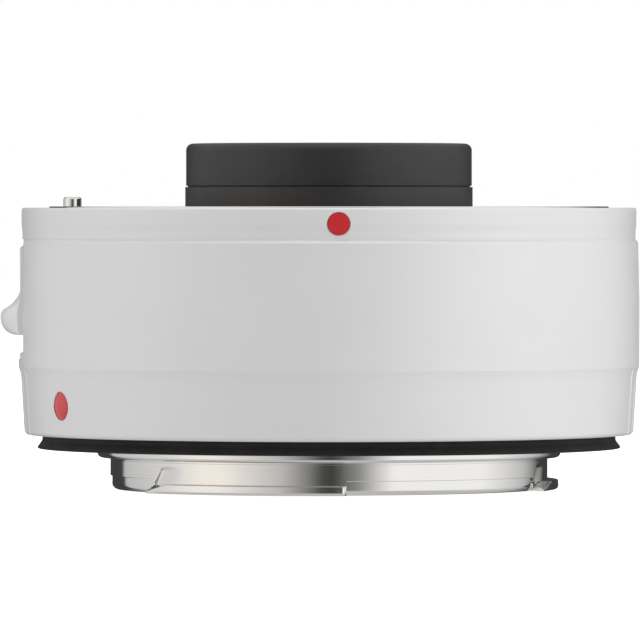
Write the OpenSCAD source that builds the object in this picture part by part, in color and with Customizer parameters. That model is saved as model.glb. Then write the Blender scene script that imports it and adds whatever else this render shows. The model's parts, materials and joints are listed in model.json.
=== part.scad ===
// Camera teleconverter with a male bayonet below and a female bayonet above.
// Z runs along the optical axis, z = 0 is the camera flange plane, units are mm.
// Angles named "bearing" start at -Y (the index side) and grow towards +X.

/* [Flanges] */
// Distance from the camera flange plane to the lens flange plane
flange_gap = 27.2; // [26.6:0.1:29]

/* [Camera bayonet] */
// Radius of the pilot that centres the converter in the camera throat
pilot_r = 26.9; // [26.75:0.05:27.1]
// Height of the pilot below the camera flange
pilot_h = 1.9; // [1.6:0.05:2.1]
// Step in radius from the pilot to the bayonet tube
bayonet_step = 1.5; // [1.4:0.05:1.7]
// Wall thickness of the bayonet tube
bayonet_wall = 1.9; // [1.6:0.05:2.2]
// Depth of the bayonet below the camera flange
bayonet_h = 5.6; // [5.5:0.05:5.9]
// Thickness of each bayonet lug
lug_h = 1.1; // [0.9:0.05:1.2]
// Bearing of the leading end of the first lug
lug_lead = -52; // [-56:0.5:-51]
// Angle covered by each lug
lug_span = 56.4; // [54:0.1:58]
// Angle of the lead-in ramp on each lug
ramp_span = 7.5; // [5:0.5:10]
// Width of the camera flange face around the pilot
seat_w = 4.8; // [4.6:0.05:5]
// Thickness of the camera flange
seat_t = 1.6; // [1.4:0.05:1.9]

/* [Lens mount] */
// Width of the lens flange face around the throat
face_w = 5.45; // [5.2:0.05:5.8]
// Thickness of the lens mount flange
lens_face_t = 1.9; // [1.7:0.05:2.1]
// Depth of the well that takes the lens bayonet
well_depth = 6.9; // [6.7:0.1:7.4]
// Distance of the mounting screws outside the pilot, in both flanges
screw_offset = 2.9; // [2.7:0.05:3]

/* [Outer shell] */
// Wall of the white collar around the lens flange
collar_wall = 3.1; // [2.9:0.05:3.5]
// Wall thickness of the shell at its largest radius
shell_wall = 1.85; // [1.75:0.05:1.95]
// Height of the crease where the lower taper starts
crease_z = 8.6; // [8:0.1:9]
// Height of the underside of the shell
shell_bottom_z = 0.75; // [0.6:0.05:0.9]
// Radius lost between the crease and the foot
taper = 0.7; // [0.5:0.05:0.9]
// Height of the white collar around the lens mount
collar_h = 3.6; // [3.3:0.05:3.65]
// Step in radius from the shell to the collar
collar_step = 0.35; // [0.25:0.05:0.45]
// Number of grip flutes on each side
flute_count = 6; // [2:1:8]
// Angle between grip flutes
flute_pitch = 5; // [4:0.25:6]
// Radius of the flute cutter
flute_r = 0.45; // [0.3:0.05:0.55]

/* [Index marks] */
// Diameter of the flat index dot on the collar
front_dot_d = 2.55; // [2:0.05:2.7]
// Bearing of the flat index dot
front_dot_bearing = 1.7; // [-3:0.1:5]
// Diameter of the raised bead on the lower taper
bead_d = 3.2; // [2.6:0.1:3.6]
// Bearing of the raised bead
bead_bearing = -59.5; // [-64:0.5:-56]
// Height of the centre of the raised bead
bead_z = 4.4; // [3.4:0.1:4.6]

/* [Rear seal] */
// Flare of the rubber lip beyond its root
lip_flare = 0.65; // [0.5:0.05:0.9]
// Drop of the lip below the camera flange
lip_drop = 0.8; // [0.6:0.05:1]

/* [Release lever] */
// Radius of the tip of the lock pin
pin_tip_r = 1.05; // [0.9:0.05:1.1]
// Distance of the lock pin outside the pilot
pin_offset = 2.9; // [2.8:0.05:3]
// Height of the lock pin above the lens flange
pin_reach = 1.1; // [0.9:0.05:1.2]
// Travel of the release lever
lever_travel = 1.6; // [1.4:0.1:1.7]
// Depth of the lever flat below the largest radius of the shell
flat_depth = 0.75; // [0.65:0.05:0.8]
// Width of the release lever
lever_w = 9.5; // [8:0.5:10.5]
// Drop from the top of the shell to the top of the lever
lever_drop = 0.74; // [0.74:0.02:1.04]
// Height of the lever plate
lever_h = 10.35; // [9.8:0.05:10.4]
// Reach of the lever nose beyond the largest radius of the shell
nose_reach = 2.1; // [1.6:0.05:2.5]

/* [Lens barrel] */
// Wall of the black front barrel around the front glass
nose_wall = 2.8; // [2.6:0.05:3]
// Height of the barrel above the lens flange
barrel_nose_h = 7.3; // [7.2:0.1:8]
// Height of the front trim ring
trim_h = 4.9; // [4.8:0.05:5.1]
// Rounding of the top edge of the trim ring
trim_round = 0.8; // [0.4:0.1:1]

/* [Optics] */
// Radius of the front lens group
front_glass_r = 13.9; // [13.6:0.05:14]
// Step in radius from the front glass down to the middle glass
middle_step = 0.9; // [0.8:0.05:1.2]
// Step in radius from the middle glass up to the rear glass
rear_step = 1.5; // [1.2:0.05:1.7]
// Air space between the front and middle group edges
front_air = 3.9; // [3.6:0.1:4.2]
// Height of the shoulder between the middle and rear groups
shoulder_h = 2.6; // [2.5:0.1:3]

/* [Electrical contacts] */
// Number of sprung contact pins facing the lens
front_contact_count = 8; // [5:1:9]
// Number of contact pads facing the camera
rear_contact_count = 8; // [5:1:8]
// Travel of the sprung contact pins
contact_travel = 0.8; // [0.5:0.05:0.8]

/* [Hidden] */
$fn = 96;
fine_fn = 360;
cut = 0.4;
side = -90;
contact_bearing = 180;
lug_count = 3;
lug_pitch = 360 / lug_count;
screw_count = 4;

// clearances
slip = 0.05;
seam = 0.06;
cement = 0.02;
hair = 0.01;
pin_clear = 0.08;
mount_clear = 0.15;
stand_off = 0.3;
overlap = 0.1;

// camera bayonet
bayonet_r = pilot_r - bayonet_step;
bayonet_in_r = bayonet_r - bayonet_wall;
seat_r = pilot_r + seat_w;
lug_relief = 0.25;
lug_r = pilot_r - lug_relief;
lug_top_z = -bayonet_h + lug_h;
recess_depth = 0.22;
recess_r = bayonet_r - recess_depth;
recess_rise = 0.5;
recess_z = lug_top_z + recess_rise;
ramp_tip = 0.25;
pilot_round = 0.5;
tube_round = 0.7;
bore_round = 0.3;
lug_round = 0.4;
lug_edge = 0.12;
undercut_h = 0.22;
undercut_depth = 0.12;
scallop_depth = 0.42;
scallop_r = 1.25;
scallop_len = 4.5;
scallop_tilt = 3;
scallop_bearing = 3.4;
scallop_drop = 1.4;
scallop_z = -pilot_h - scallop_drop;
slot_w = 2.4;
slot_len = 1.2;
slot_depth = 1.2;
screw_circle_r = pilot_r + screw_offset;
pin_circle_r = pilot_r + pin_offset;

// heights of the stack
shim_t = 0.2;
frame_bottom_z = seat_t + shim_t;
frame_top_z = flange_gap - lens_face_t;
rear_ledge_t = 1.9;
rear_ledge_z = frame_bottom_z + rear_ledge_t;
front_ledge_t = 1.6;
floor_t = 1;
floor_z = flange_gap - well_depth;
tube_flange_t = 1.4;
web_t = 1.5;
web_z = floor_z - floor_t - tube_flange_t;

// lens mount
throat_r = pilot_r + mount_clear;
lens_face_r = throat_r + face_w;
mouth = 0.3;
rim_round = 0.15;
skirt_wall = 1.05;
skirt_r = throat_r + skirt_wall;
skirt_clear = 0.9;
skirt_depth = well_depth - skirt_clear;
inner_lug_play = 0.3;
inner_lug_r = bayonet_r + inner_lug_play;
inner_lug_top = pilot_h + overlap;
inner_lug_lift = 0.6;
inner_lug_bottom = bayonet_h - lug_h - inner_lug_lift;
turn_angle = 60;
notch_margin = 1;
spring_leaf_t = 0.2;
spring_leaf_w = 0.9;
spring_leaf_span = lug_span - 8;
rivet_r = 0.35;
rivet_len = 0.8;
rivet_head_r = 0.45;
rivet_head_t = 0.15;
rivet_bearing = 14;

// shell and frame radii
collar_gap = 0.1;
collar_in_r = lens_face_r + collar_gap;
collar_r = collar_in_r + collar_wall;
barrel_r = collar_r + collar_step;
shell_in_r = barrel_r - shell_wall;
frame_r = shell_in_r - slip;
frame_wall = 1.6;
frame_in_r = frame_r - frame_wall;
rim_drop = 0.15;
rim_z = flange_gap - rim_drop;
rim_edge = 0.25;
collar_bottom_z = rim_z - collar_h;
collar_neck = 0.1;
collar_neck_h = 1;
collar_blend_h = 0.7;
shell_top_z = collar_bottom_z - seam;
shell_chamfer = 0.3;
shell_shoulder = 0.145;
crease_h = 0.25;
foot_r = barrel_r - taper;
foot_round = 0.5;
foot_wall = 1.95;
foot_in_r = foot_r - foot_wall;
flare = 0.35 * taper;
flare_h = 2.4;
flare_z = crease_z - flare_h;
swell_h = 7.7;
swell_z = crease_z + swell_h;
flute_sink = 0.2;
flute_margin = 0.6;
cutter_reach = 20;

// index marks
mark_depth = 0.6;
mark_reach = 2;
bead_dome = 0.55;
front_dot_z = (rim_z + collar_bottom_z) / 2;
front_dot_depth = 0.5;
front_dot_rise = 0.02;

// rear seal
seal_in_r = seat_r + mount_clear;
seal_gap = 0.1;
seal_root_r = foot_in_r - seal_gap;
seal_root_z = 0.1;
lip_r = seal_root_r + lip_flare;
seal_lip_t = 0.35;
seal_lip_lean = 0.08;

// mounting screws
thread_r = 0.8;
head_r = 1.55;
head_cone = head_r - thread_r;
cross_w = 0.45;
cross_len = 1.9;
cross_depth = 0.45;
screw_sink = 0.04;

// release lever
pin_shoulder = 0.2;
pin_r = pin_tip_r + pin_shoulder;
pin_tail_r = 0.8;
pin_edge = 0.25;
flat_x = barrel_r - flat_depth;
lever_top_z = shell_top_z - lever_drop;
lever_z = lever_top_z - lever_h;
flat_z = lever_z - lever_travel - stand_off;
lever_t = 0.45;
lever_gap = 0.06;
lever_face_x = flat_x + lever_t;
lever_bevel = 0.25;
step_flat_x = flat_x + lever_t;
step_flat_h = 0.9;
nose_x = barrel_r + nose_reach;
nose_round = 1.9;
nose_plan_r = 6.5;
nose_step = 0.5;
scoop_r = 3.6;
scoop_bite = 0.1;
scoop_x = lever_face_x - scoop_bite + scoop_r;
scoop_rise = 6.3;
scoop_z = lever_z + scoop_rise;
stem_w = 3.6;
stem_h = 4;
stem_rise = 3.4;
stem_z = lever_z + stem_rise;
window_w = stem_w + 2 * stand_off;

// slide plate, guides and spring
plate_w = 10;
plate_t = 1;
plate_x = sqrt(frame_in_r * frame_in_r - plate_w * plate_w / 4) - stand_off;
spring_len = 5.1;
plate_z = rear_ledge_z + spring_len;
plate_room = 0.6;
tab_t = 1.2;
tab_w = 5;
tab_drop = 1.2;
tab_top_z = frame_top_z - front_ledge_t - stand_off - tab_drop;
tab_end_x = skirt_r + stand_off + slip;
guide_r = 0.7;
guide_head_r = 1.2;
guide_head_t = 0.6;
guide_y = 3.5;
guide_rise = 0.9;
guide_z = stem_z + guide_rise;
guide_depth = 1.2;
guide_clear = 0.1;
small_screw_r = 0.6;
small_head_r = 1;
small_head_t = 0.5;
small_screw_len = 2;
lever_screw_levels = [0.25, 0.75];
wire_r = 0.17;
coil_r = 1.25;
coil_turns = 5;
rings_per_turn = 8;
wire_sides = 6;
spring_lead = 0.4;
spring_x = (plate_x + tab_end_x) / 2 - spring_lead;
spring_bottom_z = rear_ledge_z + cement;
spring_top_z = plate_z - cement;
post_clear = 0.28;
spring_post_r = coil_r - wire_r - post_clear;
spring_post_h = 2.2;

// lens barrel and glass
middle_glass_r = front_glass_r - middle_step;
rear_glass_r = middle_glass_r + rear_step;
barrel_nose_r = front_glass_r + nose_wall;
barrel_top_z = flange_gap + barrel_nose_h;
trim_bottom_z = barrel_top_z - trim_h;
trim_inset = 0.1;
trim_r = barrel_nose_r - trim_inset;
trim_seam = 0.15;
trim_wall = 1.4;
trim_mouth_r = trim_r - trim_wall;
trap_count = 3;
trap_margin = 0.5;
spigot_wall = 1;
spigot_r = front_glass_r + spigot_wall;
spigot_h = 2;
glass_slip = 0.05;
glass_recess = 2.05;
front_lip = 0.6;
tube_wall = 4.5;
tube_body_r = rear_glass_r + tube_wall;
tube_flange_lap = 0.25;
tube_flange_r = throat_r + tube_flange_lap;
curve_1 = 60;
curve_2 = 28;
curve_3 = 70;
curve_4 = 80;
curve_5 = 32;
curve_8 = 45;
curve_9 = 35;
curve_10 = 90;
thin_glass = 1.4;
front_edge = 0.9;
middle_edge = 1.1;
rear_edge = 0.85;
front_thick = front_edge + sag(curve_2, front_glass_r) + sag(curve_3, front_glass_r);
middle_thick = middle_edge + 2 * sag(curve_5, middle_glass_r);
rear_thick = rear_edge + sag(curve_8, rear_glass_r) + sag(curve_9, rear_glass_r);
rim_flat = 0.4;
vertex_1 = barrel_top_z - glass_recess;
vertex_2 = vertex_1 - thin_glass;
vertex_3 = vertex_2 - front_thick;
front_lip_r = front_glass_r - front_lip;
front_lip_z = vertex_1 - sag(curve_1, front_lip_r) + cement;
front_seat_z = vertex_3 + sag(curve_3, middle_glass_r + glass_slip) - cement;
middle_edge_z = front_seat_z - front_air;
vertex_4 = middle_edge_z - sag(curve_4, middle_glass_r - rim_flat);
vertex_5 = vertex_4 - thin_glass;
vertex_6 = vertex_5 - middle_thick;
vertex_7 = vertex_6 - thin_glass;
middle_seat_z = vertex_7 - sag(curve_4, middle_glass_r - rim_flat);
shoulder_w = 0.8;
shoulder_r = middle_glass_r - shoulder_w;
rear_seat_z = middle_seat_z - shoulder_h;
vertex_8 = rear_seat_z + sag(curve_8, shoulder_r) - cement;
vertex_9 = vertex_8 - rear_thick;
vertex_10 = vertex_9 - thin_glass;
retainer_h = 1.6;
retainer_w = 1;
retainer_sink = 0.2;
rear_stop_z = vertex_10 + sag(curve_10, rear_glass_r - retainer_w) - cement;
tube_rear_z = rear_stop_z - retainer_h - retainer_sink;
cell_screw_circle_r = (tube_body_r + tube_flange_r) / 2;
cell_screw_count = 3;
cell_screw_head_r = 1.4;
cell_screw_head_t = 0.8;

// rear baffle
baffle_r = bayonet_in_r - slip;
baffle_wall = 1.1;
baffle_t = 1;
baffle_rise = 2.2;
baffle_z = min(baffle_rise - bayonet_h, tube_rear_z - stand_off - baffle_t);
baffle_flange_w = 3;
baffle_flange_r = bayonet_in_r + baffle_flange_w;
baffle_flange_t = 0.7;
baffle_seat = 0.5;
gate_w = 27;
gate_h = 20;
gate_round = 3;

// contact blocks
contact_arc_r = (barrel_nose_r + throat_r) / 2;
contact_step = 5.3;
block_half = 24;
block_w = 5.4;
block_rise = 0.8;
block_top_z = floor_z + block_rise;
block_base_z = floor_z - floor_t;
contact_pin_r = 0.5;
contact_pin_rise = 1.1;
contact_collar_r = 0.8;
contact_collar_t = 0.3;
contact_collar_z = block_base_z + contact_travel + slip;
rear_block_sink = 0.25;
rear_block_z = rear_block_sink - bayonet_h;
rear_block_half = 25;
rear_block_w = 3.1;
rear_block_gap = 0.35;
rear_block_r = bayonet_in_r - baffle_wall - rear_block_gap;
rear_block_mid_r = rear_block_r - rear_block_w / 2;
rear_block_top_z = tube_rear_z - stand_off;
block_room = 0.2;
ear_half = 34;
ear_t = 0.9;
ear_bearing = (rear_block_half + ear_half) / 2;
pad_r = 0.75;
pad_rise = 0.07;
pad_depth = 0.3;

// board and ribbons
board_post_h = 5.7;
board_z = rear_ledge_z + board_post_h;
board_t = 1;
board_gap = 1.4;
board_in_r = tube_body_r + board_gap;
board_edge = 1;
board_out_r = frame_in_r - board_edge;
board_mid_r = (board_in_r + board_out_r) / 2;
board_from = -35;
board_to = 215;
post_r = 1.5;
post_inset = 2.15;
post_circle_r = board_out_r - post_inset;
post_bearings = [0, 90, 180];
post_hole_depth = 3;
ribbon_w = 8;
ribbon_t = 0.2;
ribbon_foot = 3.5;
ribbon_room = 0.5;
ribbon_slot_w = 1.8;
ribbon_slot_lead = 0.8;
chip_size = 6.5;
chip_t = 1.1;
chip_bearing = 55;
small_chip_size = [2, 3];
small_chip_bearings = [20, 120, 140];

// paint and metal colours
white = [0.87, 0.87, 0.85];
black = [0.08, 0.08, 0.09];
chrome = [0.78, 0.78, 0.8];
steel = [0.6, 0.61, 0.63];
gold = [0.85, 0.66, 0.28];
red = [0.78, 0.12, 0.16];
glass = [0.7, 0.82, 0.86];
board_green = [0.1, 0.32, 0.2];
amber = [0.75, 0.45, 0.12];

// depth of a spherical surface at a given distance from its axis
function sag(curve, r) = curve - sqrt(curve * curve - r * r);

// unit vector at a bearing
function heading(bearing) = [sin(bearing), -cos(bearing)];

// radius of the lower taper at a height
function taper_r(z) =
    foot_r
    + (taper - flare) * (z - shell_bottom_z) / (crease_z - shell_bottom_z)
    + (z > flare_z ? flare * pow((z - flare_z) / (crease_z - flare_z), 2) : 0);

// turns local +X to a bearing
module at_bearing(bearing) {
    rotate([0, 0, bearing - 90])
        children();
}

// copies of a child on a circle
module on_circle(count, r, start) {
    for (i = [0 : count - 1])
        at_bearing(start + i * 360 / count)
            translate([r, 0, 0])
                children();
}

// block between two bearings, reaching out from the axis
module wedge(from, to, reach, z, h) {
    steps = 6;
    rays = [for (i = [0 : steps]) 1.3 * reach * heading(from + (to - from) * i / steps)];
    translate([0, 0, z])
        linear_extrude(height = h)
            polygon(concat([[0, 0]], rays));
}

// flat ring between two radii
module ring(outer, inner, z, h) {
    translate([0, 0, z])
        difference() {
            cylinder(r = outer, h = h);
            translate([0, 0, -cut])
                cylinder(r = inner, h = h + 2 * cut);
        }
}

// part of a flat ring between two bearings
module arc_block(outer, inner, z, h, from, to) {
    intersection() {
        ring(outer, inner, z, h);
        wedge(from, to, outer, z - cut, h + 2 * cut);
    }
}

// rectangle of a turned profile, from corner to corner
module band(r_in, r_out, z_low, z_high) {
    translate([r_in, z_low])
        square([r_out - r_in, z_high - z_low]);
}

// waste outside a rounded profile corner, where the metal lies away from the given side
module corner_waste(corner, toward, radius) {
    centre = corner - radius * toward;
    difference() {
        translate([min(centre[0], corner[0] + toward[0] * cut), min(centre[1], corner[1] + toward[1] * cut)])
            square(radius + cut);
        translate(centre)
            circle(r = radius);
    }
}

// outline of the slot that takes a round-ended stud
module slot_outline(w, len) {
    for (end = [-1, 1])
        translate([end * len / 2, 0])
            circle(d = w);
    square([len, w], center = true);
}

// countersunk screw with its head at z = 0 and its thread towards -Z
module countersunk_screw(len) {
    difference() {
        union() {
            translate([0, 0, -head_cone])
                cylinder(r1 = thread_r, r2 = head_r, h = head_cone);
            translate([0, 0, -len])
                cylinder(r = thread_r, h = len - head_cone + hair);
        }
        for (turn = [0, 90])
            rotate([0, 0, turn])
                translate([-cross_len / 2, -cross_w / 2, -cross_depth])
                    cube([cross_len, cross_w, cross_depth + cut]);
    }
}

// seat for a countersunk screw
module countersunk_seat(len) {
    translate([0, 0, -head_cone])
        cylinder(r1 = thread_r + slip, r2 = head_r + slip, h = head_cone);
    cylinder(r = head_r + slip, h = cut);
    translate([0, 0, -len])
        cylinder(r = thread_r + slip, h = len);
}

// profile of the shell from the foot up to the collar
function shell_profile() = concat(
    [[foot_in_r, shell_bottom_z]],
    [for (turn = [0 : 22.5 : 90]) [
        foot_r - foot_round + foot_round * sin(turn),
        shell_bottom_z + foot_round - foot_round * cos(turn)
    ]],
    [for (i = [0 : 5]) let (z = flare_z + (crease_z - flare_z) * i / 5) [taper_r(z), z]],
    [
        [barrel_r, crease_z + crease_h],
        [barrel_r, swell_z],
        [barrel_r - shell_shoulder, shell_top_z - shell_chamfer],
        [collar_r - collar_neck, shell_top_z],
        [shell_in_r, shell_top_z],
        [shell_in_r, frame_bottom_z - slip],
        [foot_in_r, frame_bottom_z - slip]
    ]
);

module outer_shell() {
    color(white)
    difference() {
        rotate_extrude()
            polygon(shell_profile());
        // flat for the lever, with a shallow step below it
        side_flat(flat_x, flat_z, shell_top_z - flat_z);
        side_flat(step_flat_x, flat_z - step_flat_h, step_flat_h);
        lever_window();
        // grip flutes on both sides of the lower taper
        for (flank = [-1, 1], i = [0 : flute_count - 1])
            at_bearing(flank * 90 + (i - (flute_count - 1) / 2) * flute_pitch)
                flute_cutter();
        bead_socket();
    }
}

// flat cut on the lever side
module side_flat(x, z, h) {
    translate([-x - cutter_reach, -cutter_reach, z])
        cube([cutter_reach, 2 * cutter_reach, h + cut]);
}

// round-ended cutter that follows the lower taper
module flute_cutter() {
    lean = atan((taper - flare) / (crease_z - shell_bottom_z));
    flute_len = crease_z - shell_bottom_z - flute_margin;
    translate([foot_r + flute_sink, 0, shell_bottom_z - cut])
        rotate([0, lean, 0]) {
            cylinder(r = flute_r, h = flute_len);
            translate([0, 0, flute_len])
                sphere(r = flute_r);
        }
}

// opening in the walls for the lever stem
module lever_window() {
    window_z = stem_z - lever_travel - stand_off;
    translate([-frame_in_r - cutter_reach, -window_w / 2, window_z])
        cube([cutter_reach + frame_wall, window_w, stem_h + lever_travel + 2 * stand_off]);
}

module bead_socket() {
    at_bearing(bead_bearing)
        translate([taper_r(bead_z) - mark_depth, 0, bead_z])
            rotate([0, 90, 0])
                cylinder(d = bead_d + 2 * slip, h = mark_reach);
}

module rear_index_bead() {
    dome_r = (bead_d * bead_d / 4 + bead_dome * bead_dome) / (2 * bead_dome);
    color(red)
    at_bearing(bead_bearing)
        translate([taper_r(bead_z), 0, bead_z])
            rotate([0, 90, 0])
                intersection() {
                    translate([0, 0, slip - mark_depth])
                        cylinder(d = bead_d, h = mark_reach);
                    translate([0, 0, bead_dome - dome_r])
                        sphere(r = dome_r);
                }
}

module front_collar() {
    lip_z = frame_top_z + slip;
    blend_z = collar_bottom_z + collar_neck_h;
    color(white)
    difference() {
        rotate_extrude()
            polygon([
                [shell_in_r, collar_bottom_z],
                [collar_r - collar_neck, collar_bottom_z],
                [collar_r - collar_neck, blend_z],
                [collar_r, blend_z + collar_blend_h],
                [collar_r, rim_z - rim_edge],
                [collar_r - rim_edge, rim_z],
                [collar_in_r, rim_z],
                [collar_in_r, lip_z],
                [shell_in_r, lip_z]
            ]);
        front_dot_socket();
    }
}

module front_dot_socket() {
    at_bearing(front_dot_bearing)
        translate([collar_r - front_dot_depth - slip, 0, front_dot_z])
            rotate([0, 90, 0])
                cylinder(d = front_dot_d + 2 * slip, h = mark_reach);
}

module front_index_dot() {
    color(red)
    intersection() {
        at_bearing(front_dot_bearing)
            translate([collar_r - front_dot_depth, 0, front_dot_z])
                rotate([0, 90, 0])
                    cylinder(d = front_dot_d, h = mark_reach);
        translate([0, 0, collar_bottom_z])
            cylinder(r = collar_r + front_dot_rise, h = collar_h, $fn = fine_fn);
    }
}

module main_frame() {
    color(black)
    difference() {
        union() {
            ring(frame_r, frame_in_r, frame_bottom_z, frame_top_z - frame_bottom_z);
            ring(frame_r - slip, skirt_r + slip, frame_top_z - front_ledge_t, front_ledge_t);
            ring(frame_r - slip, tube_body_r + slip, web_z - web_t, web_t);
            ring(frame_r - slip, baffle_flange_r - baffle_seat, frame_bottom_z, rear_ledge_t);
            for (bearing = post_bearings)
                at_bearing(bearing)
                    translate([post_circle_r, 0, frame_bottom_z])
                        cylinder(r = post_r, h = board_z - frame_bottom_z);
            translate([-spring_x, 0, rear_ledge_z - cut])
                cylinder(r = spring_post_r, h = spring_post_h + cut);
        }
        // seat for the baffle flange
        translate([0, 0, frame_bottom_z - cut])
            cylinder(r = baffle_flange_r + slip, h = cut + seat_t + baffle_flange_t + 2 * slip - frame_bottom_z);
        // room for the release plate in the web
        translate([-frame_in_r, -plate_w / 2 - plate_room, web_z - web_t - cut])
            cube([frame_in_r - tab_end_x + plate_room, plate_w + 2 * plate_room, web_t + 2 * cut]);
        lever_window();
        lock_pin_hole();
        guide_screw_holes();
        ribbon_slot();
        // threaded holes
        on_circle(screw_count, screw_circle_r, 45)
            translate([0, 0, frame_top_z - front_ledge_t - cut])
                cylinder(r = thread_r + slip, h = front_ledge_t + 2 * cut);
        on_circle(screw_count, screw_circle_r, 45)
            translate([0, 0, frame_bottom_z - cut])
                cylinder(r = thread_r + slip, h = rear_ledge_t + 2 * cut);
        on_circle(cell_screw_count, cell_screw_circle_r, 0)
            translate([0, 0, web_z - web_t - cut])
                cylinder(r = thread_r + slip, h = web_t + 2 * cut);
        for (bearing = post_bearings)
            at_bearing(bearing)
                translate([post_circle_r, 0, board_z - post_hole_depth])
                    cylinder(r = small_screw_r + slip, h = post_hole_depth + cut);
    }
}

module lock_pin_hole() {
    translate([-pin_circle_r, 0, frame_top_z - front_ledge_t - cut])
        cylinder(r = pin_r + pin_clear, h = front_ledge_t + lens_face_t + 2 * cut);
}

module guide_screw_holes() {
    for (flank = [-1, 1])
        translate([-frame_in_r - guide_depth, flank * guide_y, guide_z])
            rotate([0, 90, 0])
                cylinder(r = guide_r + slip, h = guide_depth + frame_wall);
}

// way for the front ribbon through the web and the tube flange
module ribbon_slot() {
    slot_z = web_z - web_t - cut;
    at_bearing(contact_bearing)
        translate([contact_arc_r - ribbon_slot_lead, -ribbon_w / 2 - ribbon_room, slot_z])
            cube([ribbon_slot_w, ribbon_w + 2 * ribbon_room, block_base_z - slot_z + cut]);
}

module front_mount_ring() {
    color(chrome)
    difference() {
        union() {
            rotate_extrude()
                difference() {
                    union() {
                        band(throat_r, lens_face_r, frame_top_z, flange_gap);
                        band(throat_r, skirt_r, flange_gap - skirt_depth, flange_gap - overlap);
                    }
                    polygon([
                        [throat_r - cut, flange_gap + cut],
                        [throat_r - cut, flange_gap - mouth - cut],
                        [throat_r + mouth + cut, flange_gap + cut]
                    ]);
                    corner_waste([lens_face_r, flange_gap], [1, 1], rim_round);
                }
            // inner lugs stand where the locked lens lugs lie
            for (k = [0 : lug_count - 1])
                arc_block(
                    throat_r + overlap, inner_lug_r,
                    flange_gap - inner_lug_bottom, inner_lug_bottom - inner_lug_top,
                    lug_lead + k * lug_pitch + lug_span - turn_angle + notch_margin,
                    lug_lead + k * lug_pitch + lug_span - notch_margin
                );
        }
        translate([0, 0, flange_gap])
            on_circle(screw_count, screw_circle_r, 45)
                countersunk_seat(lens_face_t + cut);
        lock_pin_hole();
        leaf_rivets(rivet_len + overlap, slip);
    }
}

module front_mount_screws() {
    color(steel)
    translate([0, 0, flange_gap - screw_sink])
        on_circle(screw_count, screw_circle_r, 45)
            countersunk_screw(lens_face_t + front_ledge_t);
}

leaf_z = flange_gap - inner_lug_bottom - spring_leaf_t;
leaf_mid_r = (inner_lug_r + throat_r) / 2;

// rivets through the leaf springs, two to each spring
module leaf_rivets(depth, extra) {
    for (k = [0 : lug_count - 1], end = [-1, 1])
        at_bearing(lug_lead + k * lug_pitch + lug_span - turn_angle / 2 + end * rivet_bearing)
            translate([leaf_mid_r, 0, leaf_z - extra])
                cylinder(r = rivet_r + extra / 2, h = depth + 2 * extra);
}

module mount_leaf_springs() {
    color(steel)
    difference() {
        for (k = [0 : lug_count - 1])
            arc_block(
                leaf_mid_r + spring_leaf_w / 2, leaf_mid_r - spring_leaf_w / 2,
                leaf_z, spring_leaf_t - hair,
                lug_lead + k * lug_pitch + lug_span - turn_angle / 2 - spring_leaf_span / 2,
                lug_lead + k * lug_pitch + lug_span - turn_angle / 2 + spring_leaf_span / 2
            );
        leaf_rivets(spring_leaf_t, slip);
    }
}

module leaf_spring_rivets() {
    color(steel) {
        leaf_rivets(rivet_len, 0);
        for (k = [0 : lug_count - 1], end = [-1, 1])
            at_bearing(lug_lead + k * lug_pitch + lug_span - turn_angle / 2 + end * rivet_bearing)
                translate([leaf_mid_r, 0, leaf_z - rivet_head_t - hair])
                    cylinder(r = rivet_head_r, h = rivet_head_t + hair);
    }
}

module well_floor() {
    wall_h = flange_gap - skirt_depth - slip - floor_z;
    color(black)
    difference() {
        union() {
            ring(skirt_r, barrel_nose_r + slip, floor_z - floor_t, floor_t);
            ring(skirt_r, throat_r, floor_z - overlap, wall_h + overlap);
        }
        arc_block(
            contact_arc_r + block_w / 2 + slip, contact_arc_r - block_w / 2 - slip,
            floor_z - floor_t - cut, floor_t + 2 * cut,
            contact_bearing - block_half - block_room, contact_bearing + block_half + block_room
        );
    }
}

module front_contact_holes(r, z, h) {
    for (i = [0 : front_contact_count - 1])
        at_bearing(contact_bearing + (i - (front_contact_count - 1) / 2) * contact_step)
            translate([contact_arc_r, 0, z])
                cylinder(r = r, h = h);
}

module front_contact_block() {
    bore_h = contact_collar_z + contact_collar_t + slip - block_base_z;
    color(black)
    difference() {
        arc_block(
            contact_arc_r + block_w / 2, contact_arc_r - block_w / 2,
            block_base_z, block_top_z - block_base_z,
            contact_bearing - block_half, contact_bearing + block_half
        );
        front_contact_holes(contact_pin_r + slip, block_base_z - cut, block_top_z - block_base_z + 2 * cut);
        front_contact_holes(contact_collar_r + slip, block_base_z - cut, bore_h + cut);
    }
}

module front_contact_pins() {
    tip_z = block_top_z + contact_pin_rise;
    color(gold)
    for (i = [0 : front_contact_count - 1])
        at_bearing(contact_bearing + (i - (front_contact_count - 1) / 2) * contact_step)
            translate([contact_arc_r, 0, 0]) {
                translate([0, 0, contact_collar_z])
                    cylinder(r = contact_collar_r, h = contact_collar_t);
                translate([0, 0, contact_collar_z])
                    cylinder(r = contact_pin_r, h = tip_z - contact_pin_r - contact_collar_z);
                translate([0, 0, tip_z - contact_pin_r])
                    sphere(r = contact_pin_r);
            }
}

module rear_bayonet_ring() {
    color(chrome)
    difference() {
        union() {
            rotate_extrude()
                bayonet_profile();
            for (k = [0 : lug_count - 1])
                bayonet_lug(lug_lead + k * lug_pitch);
        }
        for (k = [0 : lug_count - 1])
            lug_scallop(lug_lead + k * lug_pitch);
        mirror([0, 0, 1])
            on_circle(screw_count, screw_circle_r, 45)
                countersunk_seat(seat_t + cut);
        // slot for the lock pin of the camera
        at_bearing(side)
            translate([pin_circle_r, 0, -cut])
                linear_extrude(height = slot_depth + cut)
                    slot_outline(slot_w, slot_len);
    }
}

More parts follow.
